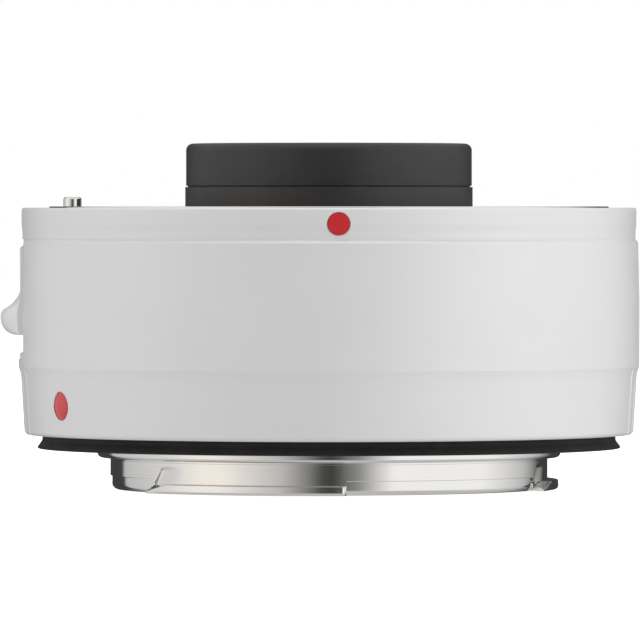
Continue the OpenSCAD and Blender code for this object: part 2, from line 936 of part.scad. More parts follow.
module bayonet_profile() {
    difference() {
        union() {
            band(bayonet_in_r, seat_r, 0, seat_t);
            band(bayonet_in_r, pilot_r, -pilot_h, overlap);
            band(bayonet_in_r, bayonet_r, recess_z, overlap);
            band(bayonet_in_r, recess_r, -bayonet_h, overlap);
        }
        corner_waste([pilot_r, -pilot_h], [1, -1], pilot_round);
        corner_waste([recess_r, -bayonet_h], [1, -1], tube_round);
        corner_waste([bayonet_in_r, -bayonet_h], [-1, -1], bore_round);
        // thin groove under the pilot
        band(bayonet_r - undercut_depth, bayonet_r + cut, -pilot_h - undercut_h, -pilot_h);
    }
}

module bayonet_lug(lead) {
    ramp_len = lug_r * sin(ramp_span);
    slope = atan((lug_h - ramp_tip) / ramp_len);
    difference() {
        intersection() {
            rotate_extrude()
                difference() {
                    union() {
                        band(bayonet_in_r + cut, lug_r, -bayonet_h, lug_top_z);
                        band(bayonet_in_r + cut, bayonet_r, -bayonet_h, recess_z + slip);
                    }
                    corner_waste([lug_r, -bayonet_h], [1, -1], lug_round);
                    corner_waste([lug_r, lug_top_z], [1, 1], lug_edge);
                }
            wedge(lead, lead + lug_span, lug_r, -bayonet_h - cut, bayonet_h);
        }
        // lead-in ramp on the leading end
        intersection() {
            ring(lug_r + cut, bayonet_r, -bayonet_h, bayonet_h);
            at_bearing(lead)
                translate([bayonet_r - ramp_len, 0, -bayonet_h + ramp_tip])
                    rotate([slope, 0, 0])
                        translate([0, -ramp_len, 0])
                            cube([2 * ramp_len, 2.2 * ramp_len, ramp_len]);
        }
    }
}

// hollow that a ball-nosed cutter leaves in the tube above the ramp of a lug, deepest at its leading end
module lug_scallop(lead) {
    at_bearing(lead + scallop_bearing)
        translate([bayonet_r - scallop_depth + scallop_r, 0, scallop_z])
            rotate([0, 0, -scallop_tilt]) {
                sphere(r = scallop_r, $fn = fine_fn);
                rotate([-90, 0, 0])
                    cylinder(r = scallop_r, h = scallop_len, $fn = fine_fn);
            }
}

module rear_mount_screws() {
    color(steel)
    translate([0, 0, screw_sink])
        mirror([0, 0, 1])
            on_circle(screw_count, screw_circle_r, 45)
                countersunk_screw(frame_bottom_z + rear_ledge_t);
}

module rear_seal() {
    seal_top_z = frame_bottom_z - slip;
    color(black)
    rotate_extrude()
        polygon([
            [seal_in_r, seal_top_z],
            [seal_root_r, seal_top_z],
            [seal_root_r, seal_root_z],
            [lip_r, -lip_drop],
            [lip_r - seal_lip_t, -lip_drop - seal_lip_lean],
            [seal_root_r - seal_lip_t, -slip],
            [seal_in_r, seal_root_z]
        ]);
}

module flange_shim() {
    color(steel)
    difference() {
        ring(seat_r - stand_off, baffle_flange_r + cut, seat_t, shim_t);
        on_circle(screw_count, screw_circle_r, 45)
            translate([0, 0, seat_t - cut])
                cylinder(r = thread_r + slip, h = shim_t + 2 * cut);
    }
}

module rear_baffle() {
    flange_z = seat_t + slip;
    color(black)
    difference() {
        union() {
            ring(baffle_r, baffle_r - baffle_wall, baffle_z, flange_z - baffle_z + overlap);
            ring(baffle_flange_r, baffle_r - baffle_wall, flange_z, baffle_flange_t);
            translate([0, 0, baffle_z])
                cylinder(r = baffle_r - overlap, h = baffle_t);
        }
        translate([0, 0, baffle_z - cut])
            linear_extrude(height = baffle_t + 2 * cut)
                rounded_gate();
        // room for the rear contact block
        arc_block(
            rear_block_r + block_room, rear_block_r - rear_block_w - block_room,
            baffle_z - cut, baffle_t + 2 * cut,
            contact_bearing - rear_block_half - notch_margin, contact_bearing + rear_block_half + notch_margin
        );
        for (flank = [-1, 1])
            at_bearing(contact_bearing + flank * ear_bearing)
                translate([rear_block_mid_r, 0, baffle_z - cut])
                    cylinder(r = small_screw_r + slip, h = baffle_t + 2 * cut);
    }
}

module rounded_gate() {
    square([gate_w - 2 * gate_round, gate_h], center = true);
    square([gate_w, gate_h - 2 * gate_round], center = true);
    for (x = [-1, 1], y = [-1, 1])
        translate([x * (gate_w / 2 - gate_round), y * (gate_h / 2 - gate_round)])
            circle(r = gate_round);
}

module rear_contact_block() {
    color(black)
    difference() {
        union() {
            arc_block(
                rear_block_r, rear_block_r - rear_block_w,
                rear_block_z, rear_block_top_z - rear_block_z,
                contact_bearing - rear_block_half, contact_bearing + rear_block_half
            );
            arc_block(
                rear_block_r, rear_block_r - rear_block_w,
                baffle_z - slip - ear_t, ear_t,
                contact_bearing - ear_half, contact_bearing + ear_half
            );
        }
        rear_pads(rear_block_z - cut, pad_r + slip, pad_depth + slip + cut);
        for (flank = [-1, 1])
            at_bearing(contact_bearing + flank * ear_bearing)
                translate([rear_block_mid_r, 0, baffle_z - ear_t - cut])
                    cylinder(r = small_screw_r + slip, h = ear_t + 2 * cut);
    }
}

module rear_pads(z, r, h) {
    for (i = [0 : rear_contact_count - 1])
        at_bearing(contact_bearing + (i - (rear_contact_count - 1) / 2) * contact_step)
            translate([rear_block_mid_r, 0, z])
                cylinder(r = r, h = h);
}

module rear_contact_pads() {
    color(gold)
    rear_pads(rear_block_z - pad_rise, pad_r, pad_depth + pad_rise);
}

module rear_block_screws() {
    head_z = baffle_z - slip - ear_t;
    color(steel)
    for (flank = [-1, 1])
        at_bearing(contact_bearing + flank * ear_bearing)
            translate([rear_block_mid_r, 0, 0]) {
                translate([0, 0, head_z - small_head_t - hair])
                    cylinder(r = small_head_r, h = small_head_t);
                translate([0, 0, head_z - 2 * hair])
                    cylinder(r = small_screw_r, h = ear_t + baffle_t);
            }
}

module circuit_board() {
    color(board_green)
    difference() {
        union() {
            board_middle = (board_from + board_to) / 2;
            arc_block(board_out_r, board_in_r, board_z, board_t, board_from, board_middle);
            arc_block(board_out_r, board_in_r, board_z, board_t, board_middle - 1, board_to);
        }
        for (bearing = post_bearings)
            at_bearing(bearing)
                translate([post_circle_r, 0, board_z - cut])
                    cylinder(r = small_screw_r + slip, h = board_t + 2 * cut);
    }
}

module board_chips() {
    color(black) {
        at_bearing(chip_bearing)
            translate([board_mid_r - chip_size / 2, -chip_size / 2, board_z + board_t])
                cube([chip_size, chip_size, chip_t]);
        for (bearing = small_chip_bearings)
            at_bearing(bearing)
                translate([board_mid_r - small_chip_size[0] / 2, -small_chip_size[1] / 2, board_z + board_t])
                    cube([small_chip_size[0], small_chip_size[1], chip_t]);
    }
}

module board_screws() {
    color(steel)
    for (bearing = post_bearings)
        at_bearing(bearing)
            translate([post_circle_r, 0, board_z + board_t]) {
                translate([0, 0, hair])
                    cylinder(r = small_head_r, h = small_head_t);
                translate([0, 0, -board_t - small_screw_len])
                    cylinder(r = small_screw_r, h = board_t + small_screw_len + 2 * hair);
            }
}

// flat ribbon standing between two heights with a foot on the board
module ribbon(r, from_z, to_z, foot_z) {
    at_bearing(contact_bearing)
        translate([r, -ribbon_w / 2, 0]) {
            translate([0, 0, from_z])
                cube([ribbon_t, ribbon_w, to_z - from_z]);
            translate([0, 0, foot_z])
                cube([ribbon_foot, ribbon_w, ribbon_t]);
        }
}

module front_ribbon() {
    foot_z = board_z + board_t + hair;
    color(amber)
    ribbon(contact_arc_r, foot_z, block_base_z - hair, foot_z);
}

module rear_ribbon() {
    foot_z = board_z - ribbon_t - hair;
    color(amber)
    ribbon(rear_block_mid_r, rear_block_top_z + hair, foot_z + ribbon_t, foot_z);
}

module release_lever() {
    color(white)
    union() {
        lever_body();
        // stem through the walls
        translate([-flat_x - lever_gap - overlap, -stem_w / 2, stem_z])
            cube([flat_x + lever_gap + overlap - plate_x - hair, stem_w, stem_h]);
    }
}

// plate on the flat with a finger nose, seen from the side and swept across its width
module lever_body() {
    union() {
        translate([0, lever_w / 2, 0])
            rotate([90, 0, 0])
                linear_extrude(height = lever_w)
                    plate_outline();
        intersection() {
            translate([0, lever_w / 2, 0])
                rotate([90, 0, 0])
                    linear_extrude(height = lever_w)
                        nose_outline();
            translate([-nose_x + nose_plan_r, 0, lever_z - cut])
                cylinder(r = nose_plan_r, h = lever_h + 2 * cut);
        }
    }
}

module plate_outline() {
    polygon([
        [-flat_x - lever_gap, lever_z],
        [-lever_face_x, lever_z],
        [-lever_face_x, lever_top_z - lever_bevel],
        [-lever_face_x + lever_bevel, lever_top_z],
        [-flat_x - lever_gap, lever_top_z]
    ]);
}

module nose_outline() {
    centre_x = nose_x - nose_round;
    difference() {
        union() {
            translate([-centre_x, lever_z + nose_round])
                circle(r = nose_round);
            translate([-centre_x, lever_z])
                square([centre_x - flat_x - lever_gap, scoop_z - lever_z]);
            translate([-nose_x + nose_step, lever_z + nose_round])
                square([nose_x - nose_step - flat_x - lever_gap, scoop_z - lever_z - nose_round]);
        }
        translate([-scoop_x, scoop_z])
            circle(r = scoop_r);
        translate([-flat_x - lever_gap, lever_z - cut])
            square([scoop_r, scoop_z]);
    }
}

module slide_plate() {
    plate_h = tab_top_z - plate_z;
    slot_h = lever_travel + 2 * guide_r + 2 * guide_clear;
    color(steel)
    difference() {
        union() {
            translate([-plate_x, -plate_w / 2, plate_z])
                cube([plate_t, plate_w, plate_h]);
            // upper tab carries the pin, lower tab sits on the spring
            for (z = [plate_z, tab_top_z - tab_t])
                translate([-plate_x, -tab_w / 2, z])
                    cube([plate_x - tab_end_x, tab_w, tab_t]);
        }
        for (flank = [-1, 1])
            translate([-plate_x - cut, flank * guide_y, guide_z - guide_r - guide_clear + slot_h / 2])
                rotate([0, 90, 0])
                    linear_extrude(height = plate_t + 2 * cut)
                        slot_outline(2 * (guide_r + guide_clear), slot_h - 2 * (guide_r + guide_clear));
        lever_screw_holes(small_screw_r + slip);
        translate([-pin_circle_r, 0, tab_top_z - tab_t - cut])
            cylinder(r = pin_tail_r + cement, h = tab_t + 2 * cut);
    }
}

module lever_screw_holes(r) {
    for (level = lever_screw_levels)
        translate([-plate_x - cut, 0, stem_z + level * stem_h])
            rotate([0, 90, 0])
                cylinder(r = r, h = plate_t + 2 * cut);
}

module lever_screws() {
    color(steel)
    for (level = lever_screw_levels)
        translate([-plate_x + plate_t + hair, 0, stem_z + level * stem_h])
            rotate([0, 90, 0]) {
                cylinder(r = small_head_r, h = small_head_t);
                translate([0, 0, -plate_t - hair])
                    cylinder(r = small_screw_r, h = plate_t + 2 * hair);
            }
}

// shoulder pin: the tail is riveted in the tab, the body runs in the mount, the tip holds the lens
module lock_pin() {
    pin_top_z = flange_gap + pin_reach;
    pin_foot_z = tab_top_z - tab_t;
    body_z = tab_top_z + hair;
    color(chrome)
    translate([-pin_circle_r, 0, 0]) {
        translate([0, 0, pin_foot_z])
            cylinder(r = pin_tail_r, h = tab_t + overlap);
        translate([0, 0, body_z])
            cylinder(r = pin_r, h = flange_gap - body_z);
        translate([0, 0, flange_gap - overlap])
            cylinder(r = pin_tip_r, h = pin_reach + overlap - pin_edge);
        translate([0, 0, pin_top_z - pin_edge])
            cylinder(r1 = pin_tip_r, r2 = pin_tip_r - pin_edge, h = pin_edge);
    }
}

module guide_screws() {
    head_x = -plate_x + plate_t + guide_clear;
    shank = frame_in_r + guide_depth - overlap + head_x;
    color(steel)
    for (flank = [-1, 1])
        translate([head_x, flank * guide_y, guide_z])
            rotate([0, 90, 0]) {
                cylinder(r = guide_head_r, h = guide_head_t);
                translate([0, 0, -shank])
                    cylinder(r = guide_r, h = shank + hair);
            }
}

// ring of the spring wire at a step along the coil
function wire_ring(step) =
    let (
        share = step / (coil_turns * rings_per_turn),
        turn = share * coil_turns * 360,
        z = spring_bottom_z + wire_r + share * (spring_top_z - spring_bottom_z - 2 * wire_r)
    )
    [for (i = [0 : wire_sides - 1])
        let (
            angle = i * 360 / wire_sides,
            r = coil_r + wire_r * cos(angle)
        )
        [r * cos(turn), r * sin(turn), z + wire_r * sin(angle)]
    ];

module return_spring() {
    steps = coil_turns * rings_per_turn;
    points = [for (step = [0 : steps], point = wire_ring(step)) point];
    walls = [for (step = [0 : steps - 1], i = [0 : wire_sides - 1])
        let (
            next = (i + 1) % wire_sides,
            low = step * wire_sides,
            high = low + wire_sides
        )
        [low + i, high + i, high + next, low + next]
    ];
    first_cap = [for (i = [0 : wire_sides - 1]) i];
    last_cap = [for (i = [0 : wire_sides - 1]) steps * wire_sides + wire_sides - 1 - i];
    color(steel)
    translate([-spring_x, 0, 0])
        polyhedron(points = points, faces = concat(walls, [first_cap], [last_cap]));
}

module lens_tube() {
    color(black)
    difference() {
        rotate_extrude()
            difference() {
                union() {
                    band(0, barrel_nose_r, web_z, trim_bottom_z - trim_seam);
                    band(0, tube_flange_r, web_z, web_z + tube_flange_t);
                    band(0, tube_body_r, tube_rear_z, web_z + overlap);
                }
                band(0, spigot_r + slip, trim_bottom_z - trim_seam - spigot_h, barrel_top_z);
                band(0, front_glass_r + glass_slip, front_seat_z, barrel_top_z);
                band(0, middle_glass_r + glass_slip, middle_seat_z, barrel_top_z);
                band(0, shoulder_r, tube_rear_z - cut, barrel_top_z);
                band(0, rear_glass_r + glass_slip, tube_rear_z - cut, rear_seat_z);
            }
        ribbon_slot();
        on_circle(cell_screw_count, cell_screw_circle_r, 0) {
            translate([0, 0, web_z - cut])
                cylinder(r = thread_r + slip, h = tube_flange_t + 2 * cut);
            translate([0, 0, web_z + tube_flange_t - cell_screw_head_t])
                cylinder(r = cell_screw_head_r + slip, h = cell_screw_head_t + cut);
        }
    }
}

module cell_screws() {
    head_z = web_z + tube_flange_t - cell_screw_head_t + hair;
    color(steel)
    on_circle(cell_screw_count, cell_screw_circle_r, 0) {
        translate([0, 0, head_z])
            cylinder(r = cell_screw_head_r, h = cell_screw_head_t - overlap);
        translate([0, 0, web_z - web_t])
            cylinder(r = thread_r, h = head_z - web_z + web_t + hair);
    }
}

// ring that holds the front glass, with stepped light traps inside
module front_trim_ring() {
    trap_base_z = front_lip_z + front_lip;
    trap_h = (barrel_top_z - trap_margin - trap_base_z) / trap_count;
    color(black)
    rotate_extrude()
        difference() {
            union() {
                band(0, trim_r, trim_bottom_z, barrel_top_z);
                band(0, spigot_r, trim_bottom_z - trim_seam - spigot_h + overlap, trim_bottom_z + overlap);
            }
            band(0, front_glass_r + glass_slip, 0, front_lip_z);
            band(0, front_lip_r, 0, barrel_top_z + cut);
            for (i = [1 : trap_count])
                band(
                    0, front_lip_r + (trim_mouth_r - front_lip_r) * i / trap_count,
                    trap_base_z + (i - 1) * trap_h, barrel_top_z + cut
                );
            corner_waste([trim_r, barrel_top_z], [1, 1], trim_round);
            corner_waste([trim_mouth_r, barrel_top_z], [-1, 1], bore_round);
        }
}

module middle_retainer() {
    color(black)
    ring(middle_glass_r, middle_glass_r - retainer_w, middle_edge_z + cement, retainer_h);
}

module rear_retainer() {
    color(black)
    ring(rear_glass_r, rear_glass_r - retainer_w, rear_stop_z - retainer_h, retainer_h);
}

// glass with a front and a rear surface; a positive curve bulges outwards
module lens(r, front_z, front_curve, rear_z, rear_curve) {
    high = front_curve > 0 ? front_z + cut : front_z + sag(-front_curve, r - rim_flat);
    low = rear_curve > 0 ? rear_z - cut : rear_z - sag(-rear_curve, r - rim_flat);
    color(glass)
    difference() {
        intersection() {
            translate([0, 0, low])
                cylinder(r = r, h = high - low);
            if (front_curve > 0)
                translate([0, 0, front_z - front_curve])
                    sphere(r = front_curve, $fn = fine_fn);
            if (rear_curve > 0)
                translate([0, 0, rear_z + rear_curve])
                    sphere(r = rear_curve, $fn = fine_fn);
        }
        if (front_curve < 0)
            translate([0, 0, front_z - front_curve])
                sphere(r = -front_curve, $fn = fine_fn);
        if (rear_curve < 0)
            translate([0, 0, rear_z + rear_curve])
                sphere(r = -rear_curve, $fn = fine_fn);
    }
}

module lens_1() {
    lens(front_glass_r, vertex_1, curve_1, vertex_2 + cement, -curve_2);
}

module lens_2() {
    lens(front_glass_r, vertex_2, curve_2, vertex_3, curve_3);
}

module lens_3() {
    lens(middle_glass_r, vertex_4, -curve_4, vertex_5 + cement, -curve_5);
}

module lens_4() {
    lens(middle_glass_r, vertex_5, curve_5, vertex_6 + cement, curve_5);
}

module lens_5() {
    lens(middle_glass_r, vertex_6, -curve_5, vertex_7, -curve_4);
}

module lens_6() {
    lens(rear_glass_r, vertex_8, curve_8, vertex_9 + cement, curve_9);
}

module lens_7() {
    lens(rear_glass_r, vertex_9, -curve_9, vertex_10, curve_10);
}

outer_shell();
front_collar();
front_index_dot();
rear_index_bead();
main_frame();
front_mount_ring();
front_mount_screws();
mount_leaf_springs();
leaf_spring_rivets();
well_floor();
front_contact_block();
front_contact_pins();
rear_bayonet_ring();
rear_mount_screws();
rear_seal();
flange_shim();
rear_baffle();
rear_contact_block();
rear_contact_pads();
rear_block_screws();
circuit_board();
board_chips();
board_screws();
front_ribbon();
rear_ribbon();
release_lever();
lever_screws();
slide_plate();
lock_pin();
guide_screws();
return_spring();
lens_tube();
cell_screws();
front_trim_ring();
middle_retainer();
rear_retainer();
lens_1();
lens_2();
lens_3();
lens_4();
lens_5();
lens_6();
lens_7();
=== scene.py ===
"""Looks of a camera teleconverter, dressed over its packed frame."""
import json
import math

import bmesh
import bpy
import numpy as np
from mathutils import Matrix, Vector


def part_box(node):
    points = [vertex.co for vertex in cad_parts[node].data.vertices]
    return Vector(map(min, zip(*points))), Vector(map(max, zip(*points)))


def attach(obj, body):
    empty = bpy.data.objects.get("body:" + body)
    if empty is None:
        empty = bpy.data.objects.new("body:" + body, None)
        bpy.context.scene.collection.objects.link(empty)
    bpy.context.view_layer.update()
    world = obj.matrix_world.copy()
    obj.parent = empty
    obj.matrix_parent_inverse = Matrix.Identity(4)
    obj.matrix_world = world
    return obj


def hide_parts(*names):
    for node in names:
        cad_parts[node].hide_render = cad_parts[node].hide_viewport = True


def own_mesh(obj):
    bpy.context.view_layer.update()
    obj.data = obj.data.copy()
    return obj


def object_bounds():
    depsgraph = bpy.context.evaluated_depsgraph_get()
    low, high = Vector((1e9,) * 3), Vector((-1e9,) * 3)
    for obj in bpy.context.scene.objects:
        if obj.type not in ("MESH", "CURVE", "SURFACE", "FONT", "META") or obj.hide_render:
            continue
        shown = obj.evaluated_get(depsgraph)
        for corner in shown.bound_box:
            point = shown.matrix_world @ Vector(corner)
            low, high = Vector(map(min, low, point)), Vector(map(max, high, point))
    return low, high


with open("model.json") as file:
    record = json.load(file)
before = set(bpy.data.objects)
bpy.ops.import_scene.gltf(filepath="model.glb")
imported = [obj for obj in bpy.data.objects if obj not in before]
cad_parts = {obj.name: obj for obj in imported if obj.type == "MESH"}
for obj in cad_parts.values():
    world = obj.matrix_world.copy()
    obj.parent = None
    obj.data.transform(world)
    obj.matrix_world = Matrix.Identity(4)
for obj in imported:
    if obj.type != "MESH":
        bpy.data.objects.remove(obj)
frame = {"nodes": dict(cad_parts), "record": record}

bl_info = {
    "name": "Teleconverter looks",
    "version": (1, 0, 0),
    "blender": (4, 5, 0),
    "location": "View3D > Sidebar > Converter",
    "description": "Models and paints the pieces of a camera teleconverter",
    "category": "Object",
}

MM = 0.001
CAD_BOX = [list(corner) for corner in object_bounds()]
HOUSING = "housing"
SLIDER = "release_slider"
SLIDE = "release_slide"
MOUNTS = {mount["name"]: mount for mount in frame["record"]["mounts"]}
BOXES = {name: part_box(name) for name in frame["nodes"]}
LEAST_TURN = 2e-5

# How far a cutter stands out of the surface that it cuts.
CLEAR = 2 * MM

# What the metal mirrors: soft boxes and dark gaps by bearing in degrees, with a plain floor and ceiling.
# Floor and ceiling fade in between two heights on a globe of radius 1.
FLOOR_SHADE = 0.55
FLOOR_FADE = (-0.7, -0.3)
CEILING_SHADE = 0.8
CEILING_FADE = (0.3, 0.6)
DARK_GAP = 0.05
WARM_BOX = (1.0, 0.95, 0.89)
STUDIO = [
    (-140, DARK_GAP),
    (-137, 0.55),
    (-92, 0.76),
    (-72, WARM_BOX),
    (-58, WARM_BOX),
    (-25, 0.56),
    (-4, 0.08),
    (2, DARK_GAP),
    (16, 0.3),
    (34, 1.0),
    (88, 1.0),
    (125, 0.55),
    (146, DARK_GAP),
]


def node_top(node):
    """Height of the top of a node."""
    return BOXES[node][1][2]


def node_foot(node):
    """Height of the underside of a node."""
    return BOXES[node][0][2]


def node_radius(node):
    """Largest radius of a node that is round about the optical axis."""
    return BOXES[node][1][1]


def node_middle(node):
    """Centre of a node's box."""
    low, high = BOXES[node]
    return (Vector(low) + Vector(high)) / 2


def length(label, about, default):
    """A length that a user may change."""
    return bpy.props.FloatProperty(
        name=label, description=about, default=default, min=0, precision=5, unit="LENGTH"
    )


def turn(label, about, degrees):
    """An angle that a user may change."""
    return bpy.props.FloatProperty(
        name=label, description=about, default=math.radians(degrees), unit="ROTATION"
    )


def count(label, about, default):
    """A whole number that a user may change."""
    return bpy.props.IntProperty(name=label, description=about, default=default, min=1)


def amount(label, about, default):
    """A plain number that a user may change."""
    return bpy.props.FloatProperty(name=label, description=about, default=default, min=0)


def colour(label, about, default):
    """A colour that a user may change."""
    return bpy.props.FloatVectorProperty(
        name=label, description=about, default=default, min=0, max=1, size=3, subtype="COLOR"
    )


class ShellSizes(bpy.types.PropertyGroup):
    """Sizes of the white shell and its collar."""

    radius: length("Shell radius", "Largest radius of the shell", node_radius("outer_shell"))
    wall: length("Wall", "Wall of the shell at its largest radius", 1.85 * MM)
    foot_wall: length("Foot wall", "Width of the shell's underside", 1.95 * MM)
    taper: length("Taper", "Radius lost between the crease and the foot", 0.7 * MM)
    straight: amount("Straight share", "Share of the taper that runs straight", 0.65)
    crease: length("Crease height", "Height at which the lower taper starts", 8.6 * MM)
    flare: length("Flare height", "Height of the curved stretch under the crease", 2.4 * MM)
    crease_rise: length("Crease rise", "Height over which the crease turns", 0.06 * MM)
    crease_round: length("Crease rounding", "Rounding of the crease", 0.08 * MM)
    swell: length("Swell height", "Height of the straight stretch above the crease", 7.7 * MM)
    swell_round: length("Swell rounding", "Rounding at the end of that stretch", 3 * MM)
    foot_round: length("Foot rounding", "Rounding of the lower edge", 0.5 * MM)
    shoulder: length("Shoulder", "Radius lost at the top of the shell", 0.145 * MM)
    shoulder_drop: length("Shoulder drop", "Height of the shoulder", 0.3 * MM)
    shoulder_round: length("Shoulder rounding", "Rounding of the shoulder", 0.25 * MM)
    seam_edge: length("Seam edge", "Rounding at the seam under the collar", 0.02 * MM)
    room: length("Room", "Room around the inner frame", 0.05 * MM)
    row: length("Row height", "Largest height of a row of faces", 0.2 * MM)
    flute_radius: length("Flute radius", "Radius of the cutter of the grip flutes", 0.45 * MM)
    flute_sink: length("Flute offset", "Distance of the cutter's centre outside the foot", 0.2 * MM)
    flute_margin: length("Flute margin", "Distance from the end of a flute to the crease", 0.6 * MM)
    flute_count: count("Flutes", "Grip flutes on each side", 6)
    flute_pitch: turn("Flute pitch", "Angle between grip flutes", 5)
    flat_depth: length("Flat depth", "Depth of the lever's flat", 0.75 * MM)
    step_depth: length("Step depth", "Depth of the step under the lever's flat", 0.3 * MM)
    step_height: length("Step height", "Height of the step under the lever's flat", 0.9 * MM)
    edge: length("Edge", "Rounding of the painted edges", 0.12 * MM)
    collar_neck: length("Collar neck", "Radius lost at the foot of the collar", 0.1 * MM)
    neck_height: length("Neck height", "Height of that foot", 1 * MM)
    neck_round: length("Neck rounding", "Rounding above that foot", 0.6 * MM)
    brow_height: length("Brow height", "Height at which the collar has its full radius", 1.7 * MM)
    brow_round: length("Brow rounding", "Rounding at that height", 0.8 * MM)
    mount_gap: length("Mount gap", "Gap between the collar and the lens mount", 0.1 * MM)
    collar_round: length("Collar rounding", "Rounding of the collar's upper edge", 0.3 * MM)
    rim_edge: length("Rim edge", "Rounding of the collar's inner edge", 0.08 * MM)


class BayonetSizes(bpy.types.PropertyGroup):
    """Sizes of the camera bayonet."""

    pilot: length("Pilot radius", "Radius of the pilot", MOUNTS["camera_pilot"]["dims"]["r_mm"] * MM)
    pilot_height: length("Pilot height", "Height of the pilot", 1.9 * MM)
    pilot_round: length("Pilot rounding", "Rounding of the pilot's lower edge", 0.5 * MM)
    tube: length("Tube radius", "Outer radius of the bayonet tube", 25.4 * MM)
    wall: length("Wall", "Wall of the bayonet tube", 1.9 * MM)
    tube_round: length("Tube rounding", "Rounding of the tube's lower edge", 0.7 * MM)
    recess: length("Recess", "Depth of the turned recess between the lugs", 0.22 * MM)
    recess_rise: length("Recess rise", "Height of the recess above the lugs", 0.5 * MM)
    seat: length("Seat", "Thickness of the flange", 1.6 * MM)
    lug: length("Lug radius", "Outer radius of the lugs", 26.65 * MM)
    lug_height: length("Lug height", "Thickness of a lug", 1.1 * MM)
    lug_round: length("Lug rounding", "Rounding of a lug's lower edge", 0.4 * MM)
    lug_edge: length("Lug edge", "Rounding of a lug's upper edge", 0.12 * MM)
    lug_count: count("Lugs", "Lugs around the tube", 3)
    lug_lead: turn("Lug lead", "Bearing of the first lug's leading end", -52)
    lug_span: turn("Lug span", "Angle that a lug covers", 56.4)
    lug_turn: turn("Lug corner", "Angle of the rounded trailing corner of a lug", 1.2)
    ramp_span: turn("Ramp span", "Angle of the lead-in ramp", 7.5)
    ramp_tip: length("Ramp tip", "Thickness of the ramp's thin end", 0.25 * MM)
    hollow_depth: length("Hollow depth", "Depth of the milled hollow above a ramp", 0.3 * MM)
    hollow_length: length("Hollow length", "Length of the hollow around the tube", 4.2 * MM)
    hollow_wall: length("Hollow wall", "Length of the hollow's steep end", 0.45 * MM)
    hollow_roof: length("Hollow roof", "Height over which the hollow closes at its top", 0.5 * MM)
    hollow_drop: length("Hollow drop", "Distance of the hollow's roof under the flange", 3 * MM)
    hollow_slant: amount("Hollow slant", "Slope of the hollow's steep end", 0.7)
    hollow_lead: turn("Hollow lead", "Angle from the end of a lug to the hollow", 2)
    undercut: length("Undercut", "Depth of the thin groove under the pilot", 0.12 * MM)
    undercut_height: length("Undercut height", "Height of that groove", 0.22 * MM)
    edge: length("Edge", "Rounding of the metal's edges", 0.08 * MM)
    bore_round: length("Bore rounding", "Rounding of the bore's lower edge", 0.3 * MM)
    flange_edge: length("Flange edge", "Rounding of the flange", 0.1 * MM)
    screw_count: count("Screws", "Screws in the flange", 4)
    screw_circle: length("Screw circle", "Radius of the circle of screws", 29.8 * MM)
    screw_head: length("Screw head", "Radius of a countersink", 1.6 * MM)
    screw_shank: length("Screw shank", "Radius of a screw hole", 0.85 * MM)
    slot_width: length("Slot width", "Width of the slot for the camera's lock pin", 2.4 * MM)
    slot_length: length("Slot length", "Straight length of that slot", 1.2 * MM)
    slot_depth: length("Slot depth", "Depth of that slot", 1.2 * MM)


class MarkSizes(bpy.types.PropertyGroup):
    """Sizes of the two red marks."""

    dot: length("Dot diameter", "Diameter of the flat dot", 2.55 * MM)
    dot_rise: length("Dot rise", "Height of the dot's face above the collar", 0.02 * MM)
    dot_depth: length("Dot depth", "Depth of the dot in the collar", 0.5 * MM)
    dot_edge: length("Dot edge", "Rounding of the dot's edge", 0.1 * MM)
    dot_socket: length("Dot socket", "Depth of the dot's socket from the dot's middle", 0.3 * MM)
    bead: length("Bead diameter", "Diameter of the raised bead", 3.2 * MM)
    bead_dome: length("Bead dome", "Height of the bead's dome", 0.55 * MM)
    bead_depth: length("Bead depth", "Depth of the bead in the shell", 0.55 * MM)
    bead_socket: length("Bead socket", "Depth of the bead's socket from the bead's middle", 0.65 * MM)
    gap: length("Gap", "Gap around a mark", 0.05 * MM)


class LeverSizes(bpy.types.PropertyGroup):
    """Sizes of the release lever and the lock pin."""

    plate: length("Plate", "Thickness of the lever's plate", 0.39 * MM)
    nose_round: length("Nose rounding", "Rounding under the nose", 1.9 * MM)
    nose_plan: length("Nose plan radius", "Radius of the nose seen from above", 6.5 * MM)
    scoop: length("Scoop radius", "Radius of the finger scoop", 3.6 * MM)
    scoop_rise: length("Scoop height", "Height of the scoop's centre above the lever's foot", 6.3 * MM)
    scoop_sink: length("Scoop sink", "Depth of the scoop in the plate", 0.1 * MM)
    foot_edge: length("Foot edge", "Rounding of the plate's lower back edge", 0.1 * MM)
    crown: length("Crown", "Flat width between the nose and the scoop", 0.3 * MM)
    brow: length("Brow", "Width of the slant at the top of the plate", 0.25 * MM)
    gap: length("Gap", "Gap between the plate and the flat", 0.06 * MM)
    stem_end: length("Stem end", "Distance of the stem's end outside the flat", 0.2 * MM)
    stem_width: length("Stem width", "Width of the stem through the walls", 3.6 * MM)
    stem_height: length("Stem height", "Height of that stem", 4 * MM)
    stem_rise: length("Stem rise", "Height of that stem above the lever's foot", 3.4 * MM)
    window_room: length("Window room", "Room around the stem", 0.3 * MM)
    travel: length("Travel", "Travel of the lever", 1.6 * MM)
    bevel: length("Bevel", "Rounding of the lever's edges", 0.18 * MM)
    pin: length("Pin radius", "Radius of the pin's tip", MOUNTS["lens_lock_pin"]["dims"]["r_mm"] * MM)
    pin_shoulder: length("Pin shoulder", "Step from the tip to the body of the pin", 0.2 * MM)
    pin_edge: length("Pin edge", "Rounding of the pin's tip", 0.3 * MM)
    pin_tail: length("Pin tail", "Radius of the pin's riveted tail", 0.8 * MM)


